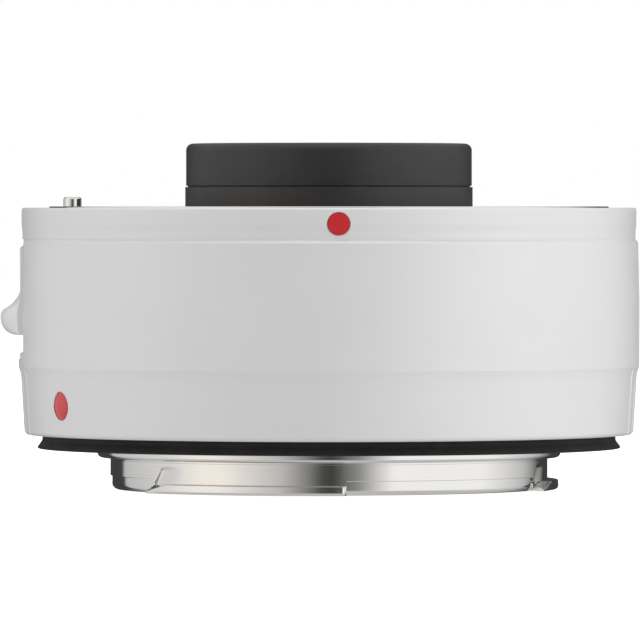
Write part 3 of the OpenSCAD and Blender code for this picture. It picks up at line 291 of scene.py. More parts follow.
class SealSizes(bpy.types.PropertyGroup):
    """Sizes of the rubber lip."""

    root: length("Root radius", "Radius of the lip's root", 33.3 * MM)
    inner: length("Inner radius", "Inner radius of the seal", 31.85 * MM)
    lip: length("Lip", "Thickness of the lip", 0.35 * MM)
    slant: length("Slant", "Height between the two edges of the lip", 0.08 * MM)
    edge: length("Edge", "Rounding of the lip", 0.12 * MM)
    rise: length("Rise", "Height of the lip's root above the camera flange", 0.1 * MM)
    sag: length("Sag", "Depth of the lip's inner bend under the camera flange", 0.05 * MM)
    inner_edge: length("Inner edge", "Rounding of the seal's inner edge", 0.05 * MM)
    inner_bend: length("Inner bend", "Rounding of the lip's inner bend", 0.4 * MM)
    outer_bend: length("Outer bend", "Rounding of the lip's outer bend", 0.5 * MM)


class BarrelSizes(bpy.types.PropertyGroup):
    """Sizes of the groove in the black barrel."""

    trim: length("Trim height", "Height of the trim ring", 4.9 * MM)
    seam: length("Seam", "Height of the groove under the trim ring", 0.15 * MM)
    groove: length("Groove", "Depth of that groove", 0.2 * MM)
    # The ring at the bottom of the groove is a black ring that stands in for the groove's shade: painted
    # shade.
    shade_ring_width: length("Shade_ring", "Width of the ring at the bottom of the groove", 1.1 * MM)


class FinishColours(bpy.types.PropertyGroup):
    """Colours of the finishes."""

    paint: colour("Paint", "White paint of the shell", (0.78, 0.78, 0.78))
    anodised: colour("Anodised", "Black of the trim ring", (0.022, 0.022, 0.023))
    barrel: colour("Barrel", "Worn black of the barrel", (0.034, 0.032, 0.031))
    rubber: colour("Rubber", "Black of the seal", (0.012, 0.012, 0.012))
    chrome: colour("Chrome", "Plated metal of the mounts", (0.86, 0.85, 0.83))
    steel: colour("Steel", "Screws and springs", (0.55, 0.55, 0.56))
    plastic: colour("Plastic", "Moulded inner parts", (0.018, 0.018, 0.02))
    gold: colour("Gold", "Plated contacts", (0.83, 0.6, 0.24))
    dot: colour("Dot", "Flat red dot", (0.62, 0.013, 0.02))
    bead: colour("Bead", "Raised red bead", (0.66, 0.02, 0.03))
    glass: colour("Glass", "Body of the lenses", (0.97, 0.99, 0.98))
    coating: colour("Coating", "Reflection of the coated lenses", (0.45, 0.75, 0.6))
    board: colour("Board", "Lacquer of the circuit board", (0.01, 0.09, 0.04))
    copper: colour("Copper", "Traces under the lacquer", (0.04, 0.2, 0.07))
    ribbon: colour("Ribbon", "Film of the ribbons", (0.5, 0.22, 0.03))


class StageSettings(bpy.types.PropertyGroup):
    """Camera, floor and light."""

    distance: length("Camera distance", "Distance of the camera from the axis", 1)
    eye: length("Camera height", "Height of the camera", 27.2 * MM)
    aim: length("Aim height", "Height that the camera looks at", 14 * MM)
    lead: length("Lead", "Shift of the camera to the left of the axis", 1.04 * MM)
    lens: amount("Lens", "Focal length in millimetres", 484)
    floor: colour("Floor", "Colour of the floor", (0.8, 0.8, 0.8))
    floor_glow: amount("Floor white", "Part of the floor's white that the camera sees without light", 0.78)
    ambient: amount("Ambient", "Strength of the even light", 0.34)
    key: amount("Key", "Power of the lamp on the right", 8.2)
    fill: amount("Fill", "Power of the lamp on the left", 5.4)
    top: amount("Top", "Power of the lamp overhead", 8.5)
    key_bearing: turn("Key bearing", "Bearing of the lamp on the right", 64)
    fill_bearing: turn("Fill bearing", "Bearing of the lamp on the left", -82)
    lamp_height: length("Lamp height", "Height of the lamps at the sides", 0.45)
    top_height: length("Top height", "Height of the lamp overhead", 1.5)
    floor_half: length("Floor reach", "Distance from the axis to the floor's sides", 3)
    lamp_reach: length("Lamp distance", "Distance of the lamps", 1.2)
    lamp_size: length("Lamp size", "Width of the lamps", 0.9)


class Wire:
    """A shader socket that takes part in sums."""

    def __init__(self, finish, socket):
        self.finish = finish
        self.socket = socket

    def sum_node(self, operation, first, second):
        return self.finish.node("ShaderNodeMath", {"operation": operation}, {0: first, 1: second})

    def __add__(self, other):
        return self.sum_node("ADD", self, other)

    def __radd__(self, other):
        return self.sum_node("ADD", other, self)

    def __sub__(self, other):
        return self.sum_node("SUBTRACT", self, other)

    def __rsub__(self, other):
        return self.sum_node("SUBTRACT", other, self)

    def __mul__(self, other):
        return self.sum_node("MULTIPLY", self, other)

    def __rmul__(self, other):
        return self.sum_node("MULTIPLY", other, self)

    def __pow__(self, other):
        return self.sum_node("POWER", self, other)

    def __rpow__(self, other):
        return self.sum_node("POWER", other, self)


class Finish:
    """A node tree that is written as Python expressions."""

    def __init__(self, tree):
        self.tree = tree
        self.tree.nodes.clear()

    def node(self, kind, settings=None, sockets=None, output=0):
        """Adds a node, sets it, feeds its sockets and returns one of its outputs."""
        made = self.tree.nodes.new(kind)
        for key, value in (settings or {}).items():
            if key == "stops":
                self.set_stops(made.color_ramp, value)
            else:
                setattr(made, key, value)
        for key, value in (sockets or {}).items():
            self.feed(made.inputs[key], value)
        return Wire(self, made.outputs[output]) if made.outputs else made

    def feed(self, socket, value):
        """Links a wire to a socket, or sets the socket's own value."""
        if isinstance(value, Wire):
            self.tree.links.new(value.socket, socket)
        elif socket.type == "RGBA":
            socket.default_value = (*tuple(value)[:3], 1)
        else:
            socket.default_value = value

    def set_stops(self, ramp, stops):
        """Gives a colour ramp its stops, as (place, grey or colour)."""
        while len(ramp.elements) < len(stops):
            ramp.elements.new(1)
        for element, (place, shade) in zip(ramp.elements, stops):
            element.position = place
            element.color = (*shade, 1) if isinstance(shade, tuple) else (shade, shade, shade, 1)

    def place(self):
        """Position on the object, in metres."""
        return self.node("ShaderNodeTexCoord", output="Object")

    def split(self, vector):
        """The three parts of a vector."""
        first = self.node("ShaderNodeSeparateXYZ", sockets={0: vector})
        return [Wire(self, output) for output in first.socket.node.outputs]

    def join(self, x, y, z):
        """A vector from three parts."""
        return self.node("ShaderNodeCombineXYZ", sockets={0: x, 1: y, 2: z})

    def rays(self):
        """Marks of the rays from the camera, from gloss and through glass."""
        path = self.node("ShaderNodeLightPath").socket.node
        marks = ("Is Camera Ray", "Is Glossy Ray", "Is Transmission Ray")
        return [Wire(self, path.outputs[mark]) for mark in marks]

    def stripes(self, place, width, share):
        """Lines at an even distance, wider for a smaller share."""
        ramp = self.node("ShaderNodeMath", {"operation": "PINGPONG"}, {0: place, 1: width}) * (1 / width)
        return self.over(ramp, share)

    def over(self, value, limit):
        """1 where a value is over a limit, and otherwise 0."""
        return self.node("ShaderNodeMath", {"operation": "GREATER_THAN"}, {0: value, 1: limit})

    def noise(self, size, detail=2, vector=None):
        """Noise whose grain is about the given size."""
        return self.node(
            "ShaderNodeTexNoise",
            sockets={
                "Vector": vector or self.place(),
                "Scale": 1 / size,
                "Detail": detail,
                "Roughness": 0.55,
            },
        )

    def mix(self, first, second, factor):
        """A colour between two colours."""
        return self.node("ShaderNodeMix", {"data_type": "RGBA"}, {0: factor, 6: first, 7: second}, output=2)

    def bump(self, height, depth, strength):
        """A surface normal from a height."""
        sockets = {"Height": height, "Distance": depth, "Strength": strength}
        return self.node("ShaderNodeBump", sockets=sockets)

    def shade(self, **values):
        """The surface shader and the material's output. Underscores stand for spaces."""
        sockets = {key.replace("_", " "): value for key, value in values.items()}
        surface = self.node("ShaderNodeBsdfPrincipled", sockets=sockets)
        self.node("ShaderNodeOutputMaterial", sockets={"Surface": surface})


def new_finish(name):
    """An empty material and its node tree."""
    material = bpy.data.materials.new(name)
    material.use_nodes = True
    return material, Finish(material.node_tree)


def tint(shade, factor):
    """A colour made lighter or darker."""
    return tuple(min(1, part * factor) for part in shade)


def ring_coordinates(finish, along, around):
    """Place on a turned surface: fine across the tool marks, coarse along them."""
    x, y, z = finish.split(finish.place())
    radius = (x * x + y * y) ** 0.5
    bearing = finish.node("ShaderNodeMath", {"operation": "ARCTAN2"}, {0: x, 1: y})
    return finish.join(radius * along, z * along, bearing * around)


def painted_finish(name, shade):
    """Satin enamel with a faint orange peel."""
    material, finish = new_finish(name)
    peel = finish.noise(0.55 * MM, detail=3)
    cloud = finish.noise(9 * MM, detail=2)
    dust = finish.noise(0.12 * MM, detail=1)
    finish.shade(
        Base_Color=finish.mix(tint(shade, 0.975), tint(shade, 1.02), cloud),
        Roughness=0.34 + dust * 0.1,
        Specular_IOR_Level=0.8,
        Normal=finish.bump(peel, 0.02 * MM, 0.6),
        Coat_Weight=0.3,
        Coat_Roughness=0.28,
    )
    return material


def anodised_finish(name, shade):
    """Black anodised metal with fine tool marks around the axis."""
    material, finish = new_finish(name)
    marks = finish.noise(1, detail=3, vector=ring_coordinates(finish, 9 / MM, 6))
    bloom = finish.noise(4 * MM)
    finish.shade(
        Base_Color=finish.mix(tint(shade, 0.8), tint(shade, 1.3), bloom),
        Roughness=0.4 + marks * 0.12,
        Specular_IOR_Level=0.6,
        Normal=finish.bump(marks, 0.008 * MM, 0.3),
    )
    return material


def rubber_finish(name, shade):
    """Dull black rubber with a fine bloom."""
    material, finish = new_finish(name)
    skin = finish.noise(0.2 * MM, detail=3)
    bloom = finish.noise(5 * MM)
    finish.shade(
        Base_Color=finish.mix(tint(shade, 0.7), tint(shade, 1.8), bloom),
        Roughness=0.62 + skin * 0.15,
        Specular_IOR_Level=0.35,
        Normal=finish.bump(skin, 0.02 * MM, 0.4),
    )
    return material


def turned_finish(name, shade, rough, depth):
    """Plated metal with fine turning lines around the axis."""
    material, finish = new_finish(name)
    lines = finish.noise(1, detail=2, vector=ring_coordinates(finish, 12 / MM, 2))
    haze = finish.noise(3 * MM, detail=3)
    finish.shade(
        Base_Color=finish.mix(tint(shade, 0.92), tint(shade, 1.05), lines),
        Metallic=1.0,
        Roughness=rough + haze * 0.06,
        Normal=finish.bump(lines, depth, 0.5),
    )
    return material


def steel_finish(name, shade):
    """Bright steel with a brushed grain."""
    material, finish = new_finish(name)
    x, y, z = finish.split(finish.place())
    grain = finish.noise(1, detail=2, vector=finish.join(x * (2 / MM), y * (2 / MM), z * (15 / MM)))
    finish.shade(
        Base_Color=finish.mix(tint(shade, 0.85), tint(shade, 1.12), grain),
        Metallic=1.0,
        Roughness=0.24 + grain * 0.14,
        Normal=finish.bump(grain, 0.006 * MM, 0.4),
    )
    return material


def plastic_finish(name, shade):
    """Moulded black plastic with a spark-eroded grain."""
    material, finish = new_finish(name)
    sparks = {"Vector": finish.place(), "Scale": 1 / (0.22 * MM)}
    grain = finish.node("ShaderNodeTexVoronoi", sockets=sparks)
    cloud = finish.noise(3 * MM)
    finish.shade(
        Base_Color=finish.mix(tint(shade, 0.8), tint(shade, 1.4), cloud),
        Roughness=0.5 + grain * 0.2,
        Normal=finish.bump(grain, 0.02 * MM, 0.35),
    )
    return material


def gold_finish(name, shade):
    """Gold plating, a little rubbed."""
    material, finish = new_finish(name)
    rub = finish.noise(0.3 * MM, detail=3)
    finish.shade(
        Base_Color=finish.mix(tint(shade, 0.85), tint(shade, 1.1), rub),
        Metallic=1.0,
        Roughness=0.2 + rub * 0.15,
        Normal=finish.bump(rub, 0.004 * MM, 0.3),
    )
    return material


def enamel_finish(name, shade, rough, coat):
    """Red enamel fill."""
    material, finish = new_finish(name)
    flow = finish.noise(0.5 * MM, detail=2)
    finish.shade(
        Base_Color=finish.mix(tint(shade, 0.88), tint(shade, 1.1), flow),
        Roughness=rough + flow * 0.08,
        Normal=finish.bump(flow, 0.012 * MM, 0.3),
        Coat_Weight=coat,
        Coat_Roughness=0.06,
    )
    return material


def glass_finish(name, shade, coating):
    """Coated lens glass."""
    material, finish = new_finish(name)
    film = finish.noise(8 * MM, detail=1)
    finish.shade(
        Base_Color=finish.mix(shade, tint(shade, 0.96), film),
        Roughness=0.0,
        IOR=1.52,
        Transmission_Weight=1.0,
        Specular_Tint=(*coating, 1),
    )
    return material


def board_finish(name, lacquer, copper):
    """Lacquered board with traces that run around the axis."""
    material, finish = new_finish(name)
    x, y, _ = finish.split(finish.place())
    radius = (x * x + y * y) ** 0.5
    mask = finish.stripes(radius, 0.45 * MM, 0.55) * finish.over(finish.noise(5 * MM, detail=1), 0.47)
    finish.shade(
        Base_Color=finish.mix(lacquer, copper, mask),
        Roughness=0.34 - mask * 0.08,
        Normal=finish.bump(mask, 0.03 * MM, 0.6),
    )
    return material


def ribbon_finish(name, shade):
    """Amber film with thin lines in it."""
    material, finish = new_finish(name)
    x, _, _ = finish.split(finish.place())
    trace = finish.stripes(x, 0.4 * MM, 0.5)
    finish.shade(
        Base_Color=finish.mix(shade, tint(shade, 0.55), trace),
        Roughness=0.3 + trace * 0.1,
        Normal=finish.bump(trace, 0.02 * MM, 0.4),
    )
    return material


def finish_for(slot):
    """The material of a slot, made the first time it is asked for."""
    name = "finish_" + slot
    if name in bpy.data.materials:
        return bpy.data.materials[name]
    shades = bpy.context.scene.converter_finish
    recipes = {
        "white_paint": lambda: painted_finish(name, shades.paint),
        "white_lever": lambda: painted_finish(name, tint(shades.paint, 1.03)),
        "black_anodised": lambda: anodised_finish(name, shades.anodised),
        "barrel_black": lambda: anodised_finish(name, shades.barrel),
        "seal_rubber": lambda: rubber_finish(name, shades.rubber),
        "mount_chrome": lambda: turned_finish(name, shades.chrome, 0.07, 0.003 * MM),
        "steel": lambda: steel_finish(name, shades.steel),
        "black_plastic": lambda: plastic_finish(name, shades.plastic),
        "contact_gold": lambda: gold_finish(name, shades.gold),
        "index_red": lambda: enamel_finish(name, shades.dot, 0.42, 0.1),
        "bead_red": lambda: enamel_finish(name, shades.bead, 0.2, 1.0),
        "optical_glass": lambda: glass_finish(name, shades.glass, shades.coating),
        "board_laminate": lambda: board_finish(name, shades.board, shades.copper),
        "ribbon_film": lambda: ribbon_finish(name, shades.ribbon),
    }
    return recipes[slot]()


def dress_nodes(slot, nodes):
    """Gives frame nodes the finish of a slot."""
    for node in nodes:
        for entry in frame["nodes"][node].material_slots:
            entry.material = finish_for(slot)


def rounded(corners, steps=6):
    """Points of a closed outline from corners (across, up, rounding), with true arcs at the corners."""
    points = []
    for i, (across, up, rounding) in enumerate(corners):
        here = Vector((across, up))
        before = Vector(corners[i - 1][:2]) - here
        after = Vector(corners[(i + 1) % len(corners)][:2]) - here
        if rounding == 0:
            points.append(here)
            continue
        half = before.angle(after) / 2
        wish = max(rounding / math.tan(half), 0.2 * rounding)
        reach = min(wish, 0.9 * before.length, 0.9 * after.length)
        start = here + before.normalized() * reach
        stop = here + after.normalized() * reach
        for step in range(steps + 1):
            share = step / steps
            weights = ((1 - share) ** 2, 2 * share * (1 - share) * math.sin(half), share**2)
            points.append((start * weights[0] + here * weights[1] + stop * weights[2]) / sum(weights))
    return points


def with_rows(points, longest, first, last):
    """The outline with long stretches between two of its heights cut into shorter ones."""
    dense = []
    for here, there in zip(points, points[1:] + points[:1]):
        dense.append(here)
        inside = first <= min(here.y, there.y) and max(here.y, there.y) <= last and there.y > here.y
        parts = math.ceil((there - here).length / longest) if inside else 1
        dense += [here.lerp(there, part / parts) for part in range(1, parts)]
    return dense


def distinct(values):
    """Sorted angles, without any that lie on top of each other."""
    kept = []
    for value in sorted(values):
        if not kept or value - kept[-1] > LEAST_TURN:
            kept.append(value)
    return kept


def bearings_around(steps):
    """Even bearings once around the axis."""
    return list(np.linspace(-math.pi, math.pi, steps + 1)[:-1])


def fan(middle, first, last, steps):
    """Bearings at even steps between two distances in degrees from a bearing."""
    return list(middle + np.radians(np.linspace(first, last, steps)))


def at_bearing(radius, bearing, height):
    """Point at a bearing from -Y towards +X."""
    return (radius * math.sin(bearing), -radius * math.cos(bearing), height)


def ring_skin(columns):
    """Vertices and faces of a closed ring from its outlines, one a bearing."""
    rows = len(columns[0])
    verts = [point for column in columns for point in column]
    faces = []
    for i in range(len(columns)):
        here = i * rows
        there = (i + 1) % len(columns) * rows
        for k in range(rows):
            up = (k + 1) % rows
            faces.append((here + k, there + k, there + up, here + up))
    return verts, faces


def turned_skin(outline, segments):
    """Vertices and faces of a ring turned from one outline."""
    bearings = [2 * math.pi * i / segments for i in range(segments)]
    return ring_skin([[at_bearing(point.x, bearing, point.y) for point in outline] for bearing in bearings])


def solid_skin(outline, segments):
    """Vertices and faces of a solid turned from an outline that starts and ends on the axis."""
    walls = outline[1:-1]
    rows = len(walls)
    foot = segments * rows
    bearings = [2 * math.pi * i / segments for i in range(segments)]
    verts = [at_bearing(point.x, bearing, point.y) for bearing in bearings for point in walls]
    verts += [(0, 0, outline[0].y), (0, 0, outline[-1].y)]
    faces = []
    for i in range(segments):
        here = i * rows
        there = (i + 1) % segments * rows
        faces.append((foot, there, here))
        faces += [(here + k, there + k, there + k + 1, here + k + 1) for k in range(rows - 1)]
        faces.append((foot + 1, here + rows - 1, there + rows - 1))
    return verts, faces


def new_piece(name, skin, slot, body, nodes, finish=None):
    """A mesh piece with its finish that stands for frame nodes and moves with a body."""
    mesh = bpy.data.meshes.new(name)
    mesh.from_pydata(skin[0], [], skin[1])
    piece = bpy.data.objects.new(name, mesh)
    bpy.context.scene.collection.objects.link(piece)
    mesh.materials.append(finish_for(finish or slot))
    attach(piece, body)
    if nodes:
        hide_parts(*nodes)
    return piece


def welded_copy(name, node, slot, body):
    """A copy of a frame node whose triangles are joined up."""
    mesh = frame["nodes"][node].data
    points = [tuple(vert.co) for vert in mesh.vertices]
    faces = [tuple(face.vertices) for face in mesh.polygons]
    piece = new_piece(name, (points, faces), slot, body, [node])
    bm = bmesh.new()
    bm.from_mesh(piece.data)
    bmesh.ops.remove_doubles(bm, verts=bm.verts, dist=0.001 * MM)
    bmesh.ops.dissolve_limit(bm, angle_limit=math.radians(0.5), verts=bm.verts, edges=bm.edges)
    bm.to_mesh(piece.data)
    bm.free()
    return piece


def eased_copy(name, node, slot, body, edge):
    """A copy of a frame node with its edges eased, so that they catch the light."""
    piece = welded_copy(name, node, slot, body)
    bevel(piece, edge, 3, 35)
    smooth(piece, 40)
    return piece


def bevel(piece, width, segments, angle):
    """Rounds the edges that are sharper than an angle."""
    edges = piece.modifiers.new("edges", "BEVEL")
    edges.width = width
    edges.segments = segments
    edges.limit_method = "ANGLE"
    edges.angle_limit = math.radians(angle)


def smooth(piece, angle=32):
    """Smooth shading that keeps edges sharper than an angle, led by the large faces."""
    mesh = piece.data
    mesh.polygons.foreach_set("use_smooth", [True] * len(mesh.polygons))
    mesh.set_sharp_from_angle(angle=math.radians(angle))
    even = piece.modifiers.new("even_normals", "WEIGHTED_NORMAL")
    even.keep_sharp = True


def carve(piece, skins):
    """Cuts closed skins out of a piece."""
    for skin in skins:
        mesh = bpy.data.meshes.new("cutter")
        mesh.from_pydata(skin[0], [], skin[1])
        cutter = bpy.data.objects.new("cutter", mesh)
        bpy.context.scene.collection.objects.link(cutter)
        cut = piece.modifiers.new("cut", "BOOLEAN")
        cut.operation = "DIFFERENCE"
        cut.solver = "EXACT"
        cut.object = cutter
        graph = bpy.context.evaluated_depsgraph_get()
        carved = bpy.data.meshes.new_from_object(piece.evaluated_get(graph))
        if not carved.polygons:
            raise RuntimeError(f"nothing is left of {piece.name} after a cut")
        piece.modifiers.remove(cut)
        piece.data = carved
        bpy.data.objects.remove(cutter)


def join_skin(piece, skin):
    """Adds the faces of a skin to a piece."""
    bm = bmesh.new()
    bm.from_mesh(piece.data)
    verts = [bm.verts.new(point) for point in skin[0]]
    for face in skin[1]:
        bm.faces.new([verts[i] for i in face])
    bmesh.ops.recalc_face_normals(bm, faces=bm.faces)
    bm.to_mesh(piece.data)
    bm.free()


def moved(skin, matrix):
    """A skin put in another place."""
    return [tuple(matrix @ Vector(point)) for point in skin[0]], skin[1]


def box_skin(low, high):
    """Vertices and faces of a block between two corners."""
    verts = [(x, y, z) for x in (low[0], high[0]) for y in (low[1], high[1]) for z in (low[2], high[2])]
    faces = [(0, 1, 3, 2), (4, 6, 7, 5), (0, 4, 5, 1), (2, 3, 7, 6), (0, 2, 6, 4), (1, 5, 7, 3)]
    return verts, faces


def drum_skin(radius, low, high, segments=64):
    """Vertices and faces of a drum on the local Z axis."""
    outline = [Vector((0, low)), Vector((radius, low)), Vector((radius, high)), Vector((0, high))]
    return solid_skin(outline, segments)


def outward(place):
    """Frame at a place on the barrel whose Z axis points away from the optical axis."""
    away = Vector((place.x, place.y, 0)).normalized()
    across = Vector((0, 0, 1)).cross(away)
    turned = Matrix((across, Vector((0, 0, 1)), away)).transposed().to_4x4()
    return Matrix.Translation(place) @ turned


def ease_in(share):
    """Smooth step from 0 to 1."""
    share = min(1, max(0, share))
    return share * share * (3 - 2 * share)


def soft_least(first, second, blend):
    """The smaller of two lengths, with a soft change from one to the other."""
    share = min(1, max(0, 0.5 + (second - first) / (2 * blend)))
    return second + (first - second) * share - blend * share * (1 - share)


class SHELL_OT_build(bpy.types.Operator):
    """Model the white shell with its taper, grip flutes and lever flat."""

    bl_idname = "converter.shell"
    bl_label = "Shell"
    # Steps along the flare and around the axis. Reaches are degrees to either side of a flute or an edge.
    flare_steps = 14
    bearing_steps = 300
    flute_steps = 21
    flute_reach = 1.3
    flat_steps = 23
    flat_reach = 1
    # Widths over which the surface blends into a flute and into the flat.
    flute_blend = 0.05 * MM
    flat_blend = 0.02 * MM
    # Cosine of the widest angle from the flat's middle at which the flat may cut.
    flat_side = 0.9
    # Points closer than this to the inner wall stay where the outline puts them.
    bare_skin = 0.3 * MM
    # Ends of the lever's window, outside and inside the shell's radius.
    window_start = 1 * MM
    window_end = 4 * MM

    def outline(self, sizes):
        """Outline of the shell, from the inner foot outwards and up."""
        foot_z = node_foot("outer_shell")
        top_z = node_top("outer_shell")
        foot_r = sizes.radius - sizes.taper
        rise = sizes.straight * sizes.taper
        flare_z = sizes.crease - sizes.flare
        slope = rise / (sizes.crease - foot_z)
        curve = []
        for i in range(self.flare_steps):
            share = i / self.flare_steps
            z = flare_z + sizes.flare * share
            bulge = (sizes.taper - rise) * share**4
            curve.append((foot_r + slope * (z - foot_z) + bulge, z, 0))
        inner_r = sizes.radius - sizes.wall
        ledge_z = node_foot("main_frame") - sizes.room
        shoulder_z = top_z - sizes.shoulder_drop
        neck_r = node_radius("front_collar") - sizes.collar_neck
        corners = [
            (foot_r - sizes.foot_wall, foot_z, sizes.edge),
            (foot_r, foot_z, sizes.foot_round),
            *curve,
            (sizes.radius, sizes.crease + sizes.crease_rise, sizes.crease_round),
            (sizes.radius, sizes.crease + sizes.swell, sizes.swell_round),
            (sizes.radius - sizes.shoulder, shoulder_z, sizes.shoulder_round),
            (neck_r, top_z, sizes.seam_edge),
            (inner_r, top_z, 0),
            (inner_r, ledge_z, 0),
            (foot_r - sizes.foot_wall, ledge_z, 0),
        ]
        return with_rows(rounded(corners), sizes.row, foot_z, shoulder_z)

    def flute_bearings(self, sizes):
        """Bearings of the grip flutes on both sides."""
        middle = (sizes.flute_count - 1) / 2
        turns = [(i - middle) * sizes.flute_pitch for i in range(sizes.flute_count)]
        return [side * math.pi / 2 + step for side in (-1, 1) for step in turns]

    def bearings(self, sizes, flutes):
        """Bearings of the outlines, closer together at the flutes and at the edges of the flat."""
        values = bearings_around(self.bearing_steps)
        for flute in flutes:
            values += fan(flute, -self.flute_reach, self.flute_reach, self.flute_steps)
        for depth in (sizes.flat_depth, sizes.step_depth):
            half = math.acos(1 - depth / sizes.radius)
            for side in (-1, 1):
                edge = -math.pi / 2 + side * half
                values += fan(edge, -self.flat_reach, self.flat_reach, self.flat_steps)
        return distinct(np.round(values, 6))

    def surface(self, sizes, flutes, bearing, point):
        """Radius of the painted surface where the flutes and the flat cut it."""
        foot_z = node_foot("outer_shell")
        lever_z = node_foot("release_lever")
        lever = bpy.context.scene.converter_lever
        radius = point.x
        slope = sizes.straight * sizes.taper / (sizes.crease - foot_z)
        end_z = sizes.crease - sizes.flute_margin
        for flute in flutes:
            aside = (bearing - flute) * sizes.radius
            past = max(0, point.y - end_z)
            bite = sizes.flute_radius**2 - aside**2 - past**2
            if bite > 0:
                centre = sizes.radius - sizes.taper + sizes.flute_sink + slope * (point.y - foot_z)
                radius = soft_least(radius, centre - math.sqrt(bite), self.flute_blend)
        flat_z = lever_z - lever.travel - lever.window_room
        facing = -math.sin(bearing)
        if facing > self.flat_side and point.y > flat_z - sizes.step_height:
            depth = sizes.flat_depth if point.y > flat_z else sizes.step_depth
            radius = soft_least(radius, (sizes.radius - depth) / facing, self.flat_blend)
        return radius

    def execute(self, context):
        sizes = context.scene.converter_shell
        lever = context.scene.converter_lever
        marks = context.scene.converter_marks
        outline = self.outline(sizes)
        painted_r = sizes.radius - sizes.wall + self.bare_skin
        flutes = self.flute_bearings(sizes)
        columns = []
        for bearing in self.bearings(sizes, flutes):
            column = []
            for point in outline:
                painted = point.x > painted_r
                radius = self.surface(sizes, flutes, bearing, point) if painted else point.x
                column.append(at_bearing(radius, bearing, point.y))
            columns.append(column)
        piece = new_piece("shell", ring_skin(columns), "white_paint", HOUSING, ["outer_shell"])
        stem_z = node_foot("release_lever") + lever.stem_rise
        half = lever.stem_width / 2 + lever.window_room
        window_foot = stem_z - lever.travel - lever.window_room
        window_top = stem_z + lever.stem_height + lever.window_room
        low = (-sizes.radius - self.window_start, -half, window_foot)
        high = (-sizes.radius + self.window_end, half, window_top)
        socket = drum_skin(marks.bead / 2 + marks.gap, -marks.bead_socket, CLEAR)
        bead = outward(node_middle("rear_index_bead"))
        carve(piece, [box_skin(low, high), moved(socket, bead)])
        smooth(piece)
        return {"FINISHED"}


class COLLAR_OT_build(bpy.types.Operator):
    """Model the white collar around the lens mount."""

    bl_idname = "converter.collar"
    bl_label = "Collar"

    def execute(self, context):
        sizes = context.scene.converter_shell
        marks = context.scene.converter_marks
        radius = node_radius("front_collar")
        seam = 0.005 * MM
        foot_z = node_top("outer_shell") + seam
        rim_z = node_top("front_collar")
        inner_r = node_radius("front_mount_ring") + sizes.mount_gap
        shell_in_r = sizes.radius - sizes.wall
        lip_z = node_top("main_frame") + sizes.room
        corners = [
            (shell_in_r, foot_z, 0),
            (radius - sizes.collar_neck, foot_z, sizes.seam_edge),
            (radius - sizes.collar_neck, foot_z + sizes.neck_height, sizes.neck_round),
            (radius, foot_z + sizes.brow_height, sizes.brow_round),
            (radius, rim_z, sizes.collar_round),
            (inner_r, rim_z, sizes.rim_edge),
            (inner_r, lip_z, 0),
            (shell_in_r, lip_z, 0),
        ]
        skin = turned_skin(rounded(corners), 360)
        piece = new_piece("collar", skin, "white_paint", HOUSING, ["front_collar"])
        dot = outward(node_middle("front_index_dot"))
        socket = drum_skin(marks.dot / 2 + marks.gap, -marks.dot_socket, CLEAR)
        carve(piece, [moved(socket, dot)])
        smooth(piece)
        return {"FINISHED"}


class MARKS_OT_build(bpy.types.Operator):
    """Model the flat red dot and the raised red bead."""

    bl_idname = "converter.marks"
    bl_label = "Red marks"
    segments = 72
    dome_steps = 14

    def dot_skin(self, sizes):
        """Disc that follows the collar's round face."""
        face_r = node_radius("front_collar") + sizes.dot_rise
        place = node_middle("front_index_dot")
        bearing = math.atan2(place.x, -place.y)
        outline = rounded([
            (0, face_r - sizes.dot_depth, 0),
            (sizes.dot / 2, face_r - sizes.dot_depth, 0),
            (sizes.dot / 2, face_r, sizes.dot_edge),
            (0.6 * sizes.dot / 2, face_r, 0),
            (0.3 * sizes.dot / 2, face_r, 0),
            (0, face_r, 0),
        ])
        verts, faces = solid_skin(outline, self.segments)
        wrapped = [at_bearing(z, bearing + x / face_r, place.z + y) for x, y, z in verts]
        return wrapped, faces

    def bead_skin(self, sizes):
        """Dome with a short shank."""
        rise = sizes.bead_dome
        dome_r = (sizes.bead**2 / 4 + rise**2) / (2 * rise)
        widest = math.asin(sizes.bead / 2 / dome_r)
        place = node_middle("rear_index_bead")
        bearing = math.atan2(place.x, -place.y)
        away = Vector(at_bearing(1, bearing, 0))
        reach = max(vert.co.dot(away) for vert in frame["nodes"]["rear_index_bead"].data.vertices)
        foot = -rise - sizes.bead_depth
        outline = [Vector((0, foot)), Vector((sizes.bead / 2, foot))]
        for i in range(self.dome_steps + 1):
            angle = widest * (1 - i / self.dome_steps)
            outline.append(Vector((dome_r * math.sin(angle), dome_r * (math.cos(angle) - 1))))
        tip = Vector(at_bearing(reach, bearing, place.z))
        return moved(solid_skin(outline, self.segments), outward(tip))

    def execute(self, context):
        sizes = context.scene.converter_marks
        dot = new_piece("red_dot", self.dot_skin(sizes), "index_red", HOUSING, ["front_index_dot"])
        bead = new_piece(
            "red_bead", self.bead_skin(sizes), "index_red", HOUSING, ["rear_index_bead"], finish="bead_red"
        )
        for piece in (dot, bead):
            smooth(piece, 50)
        return {"FINISHED"}


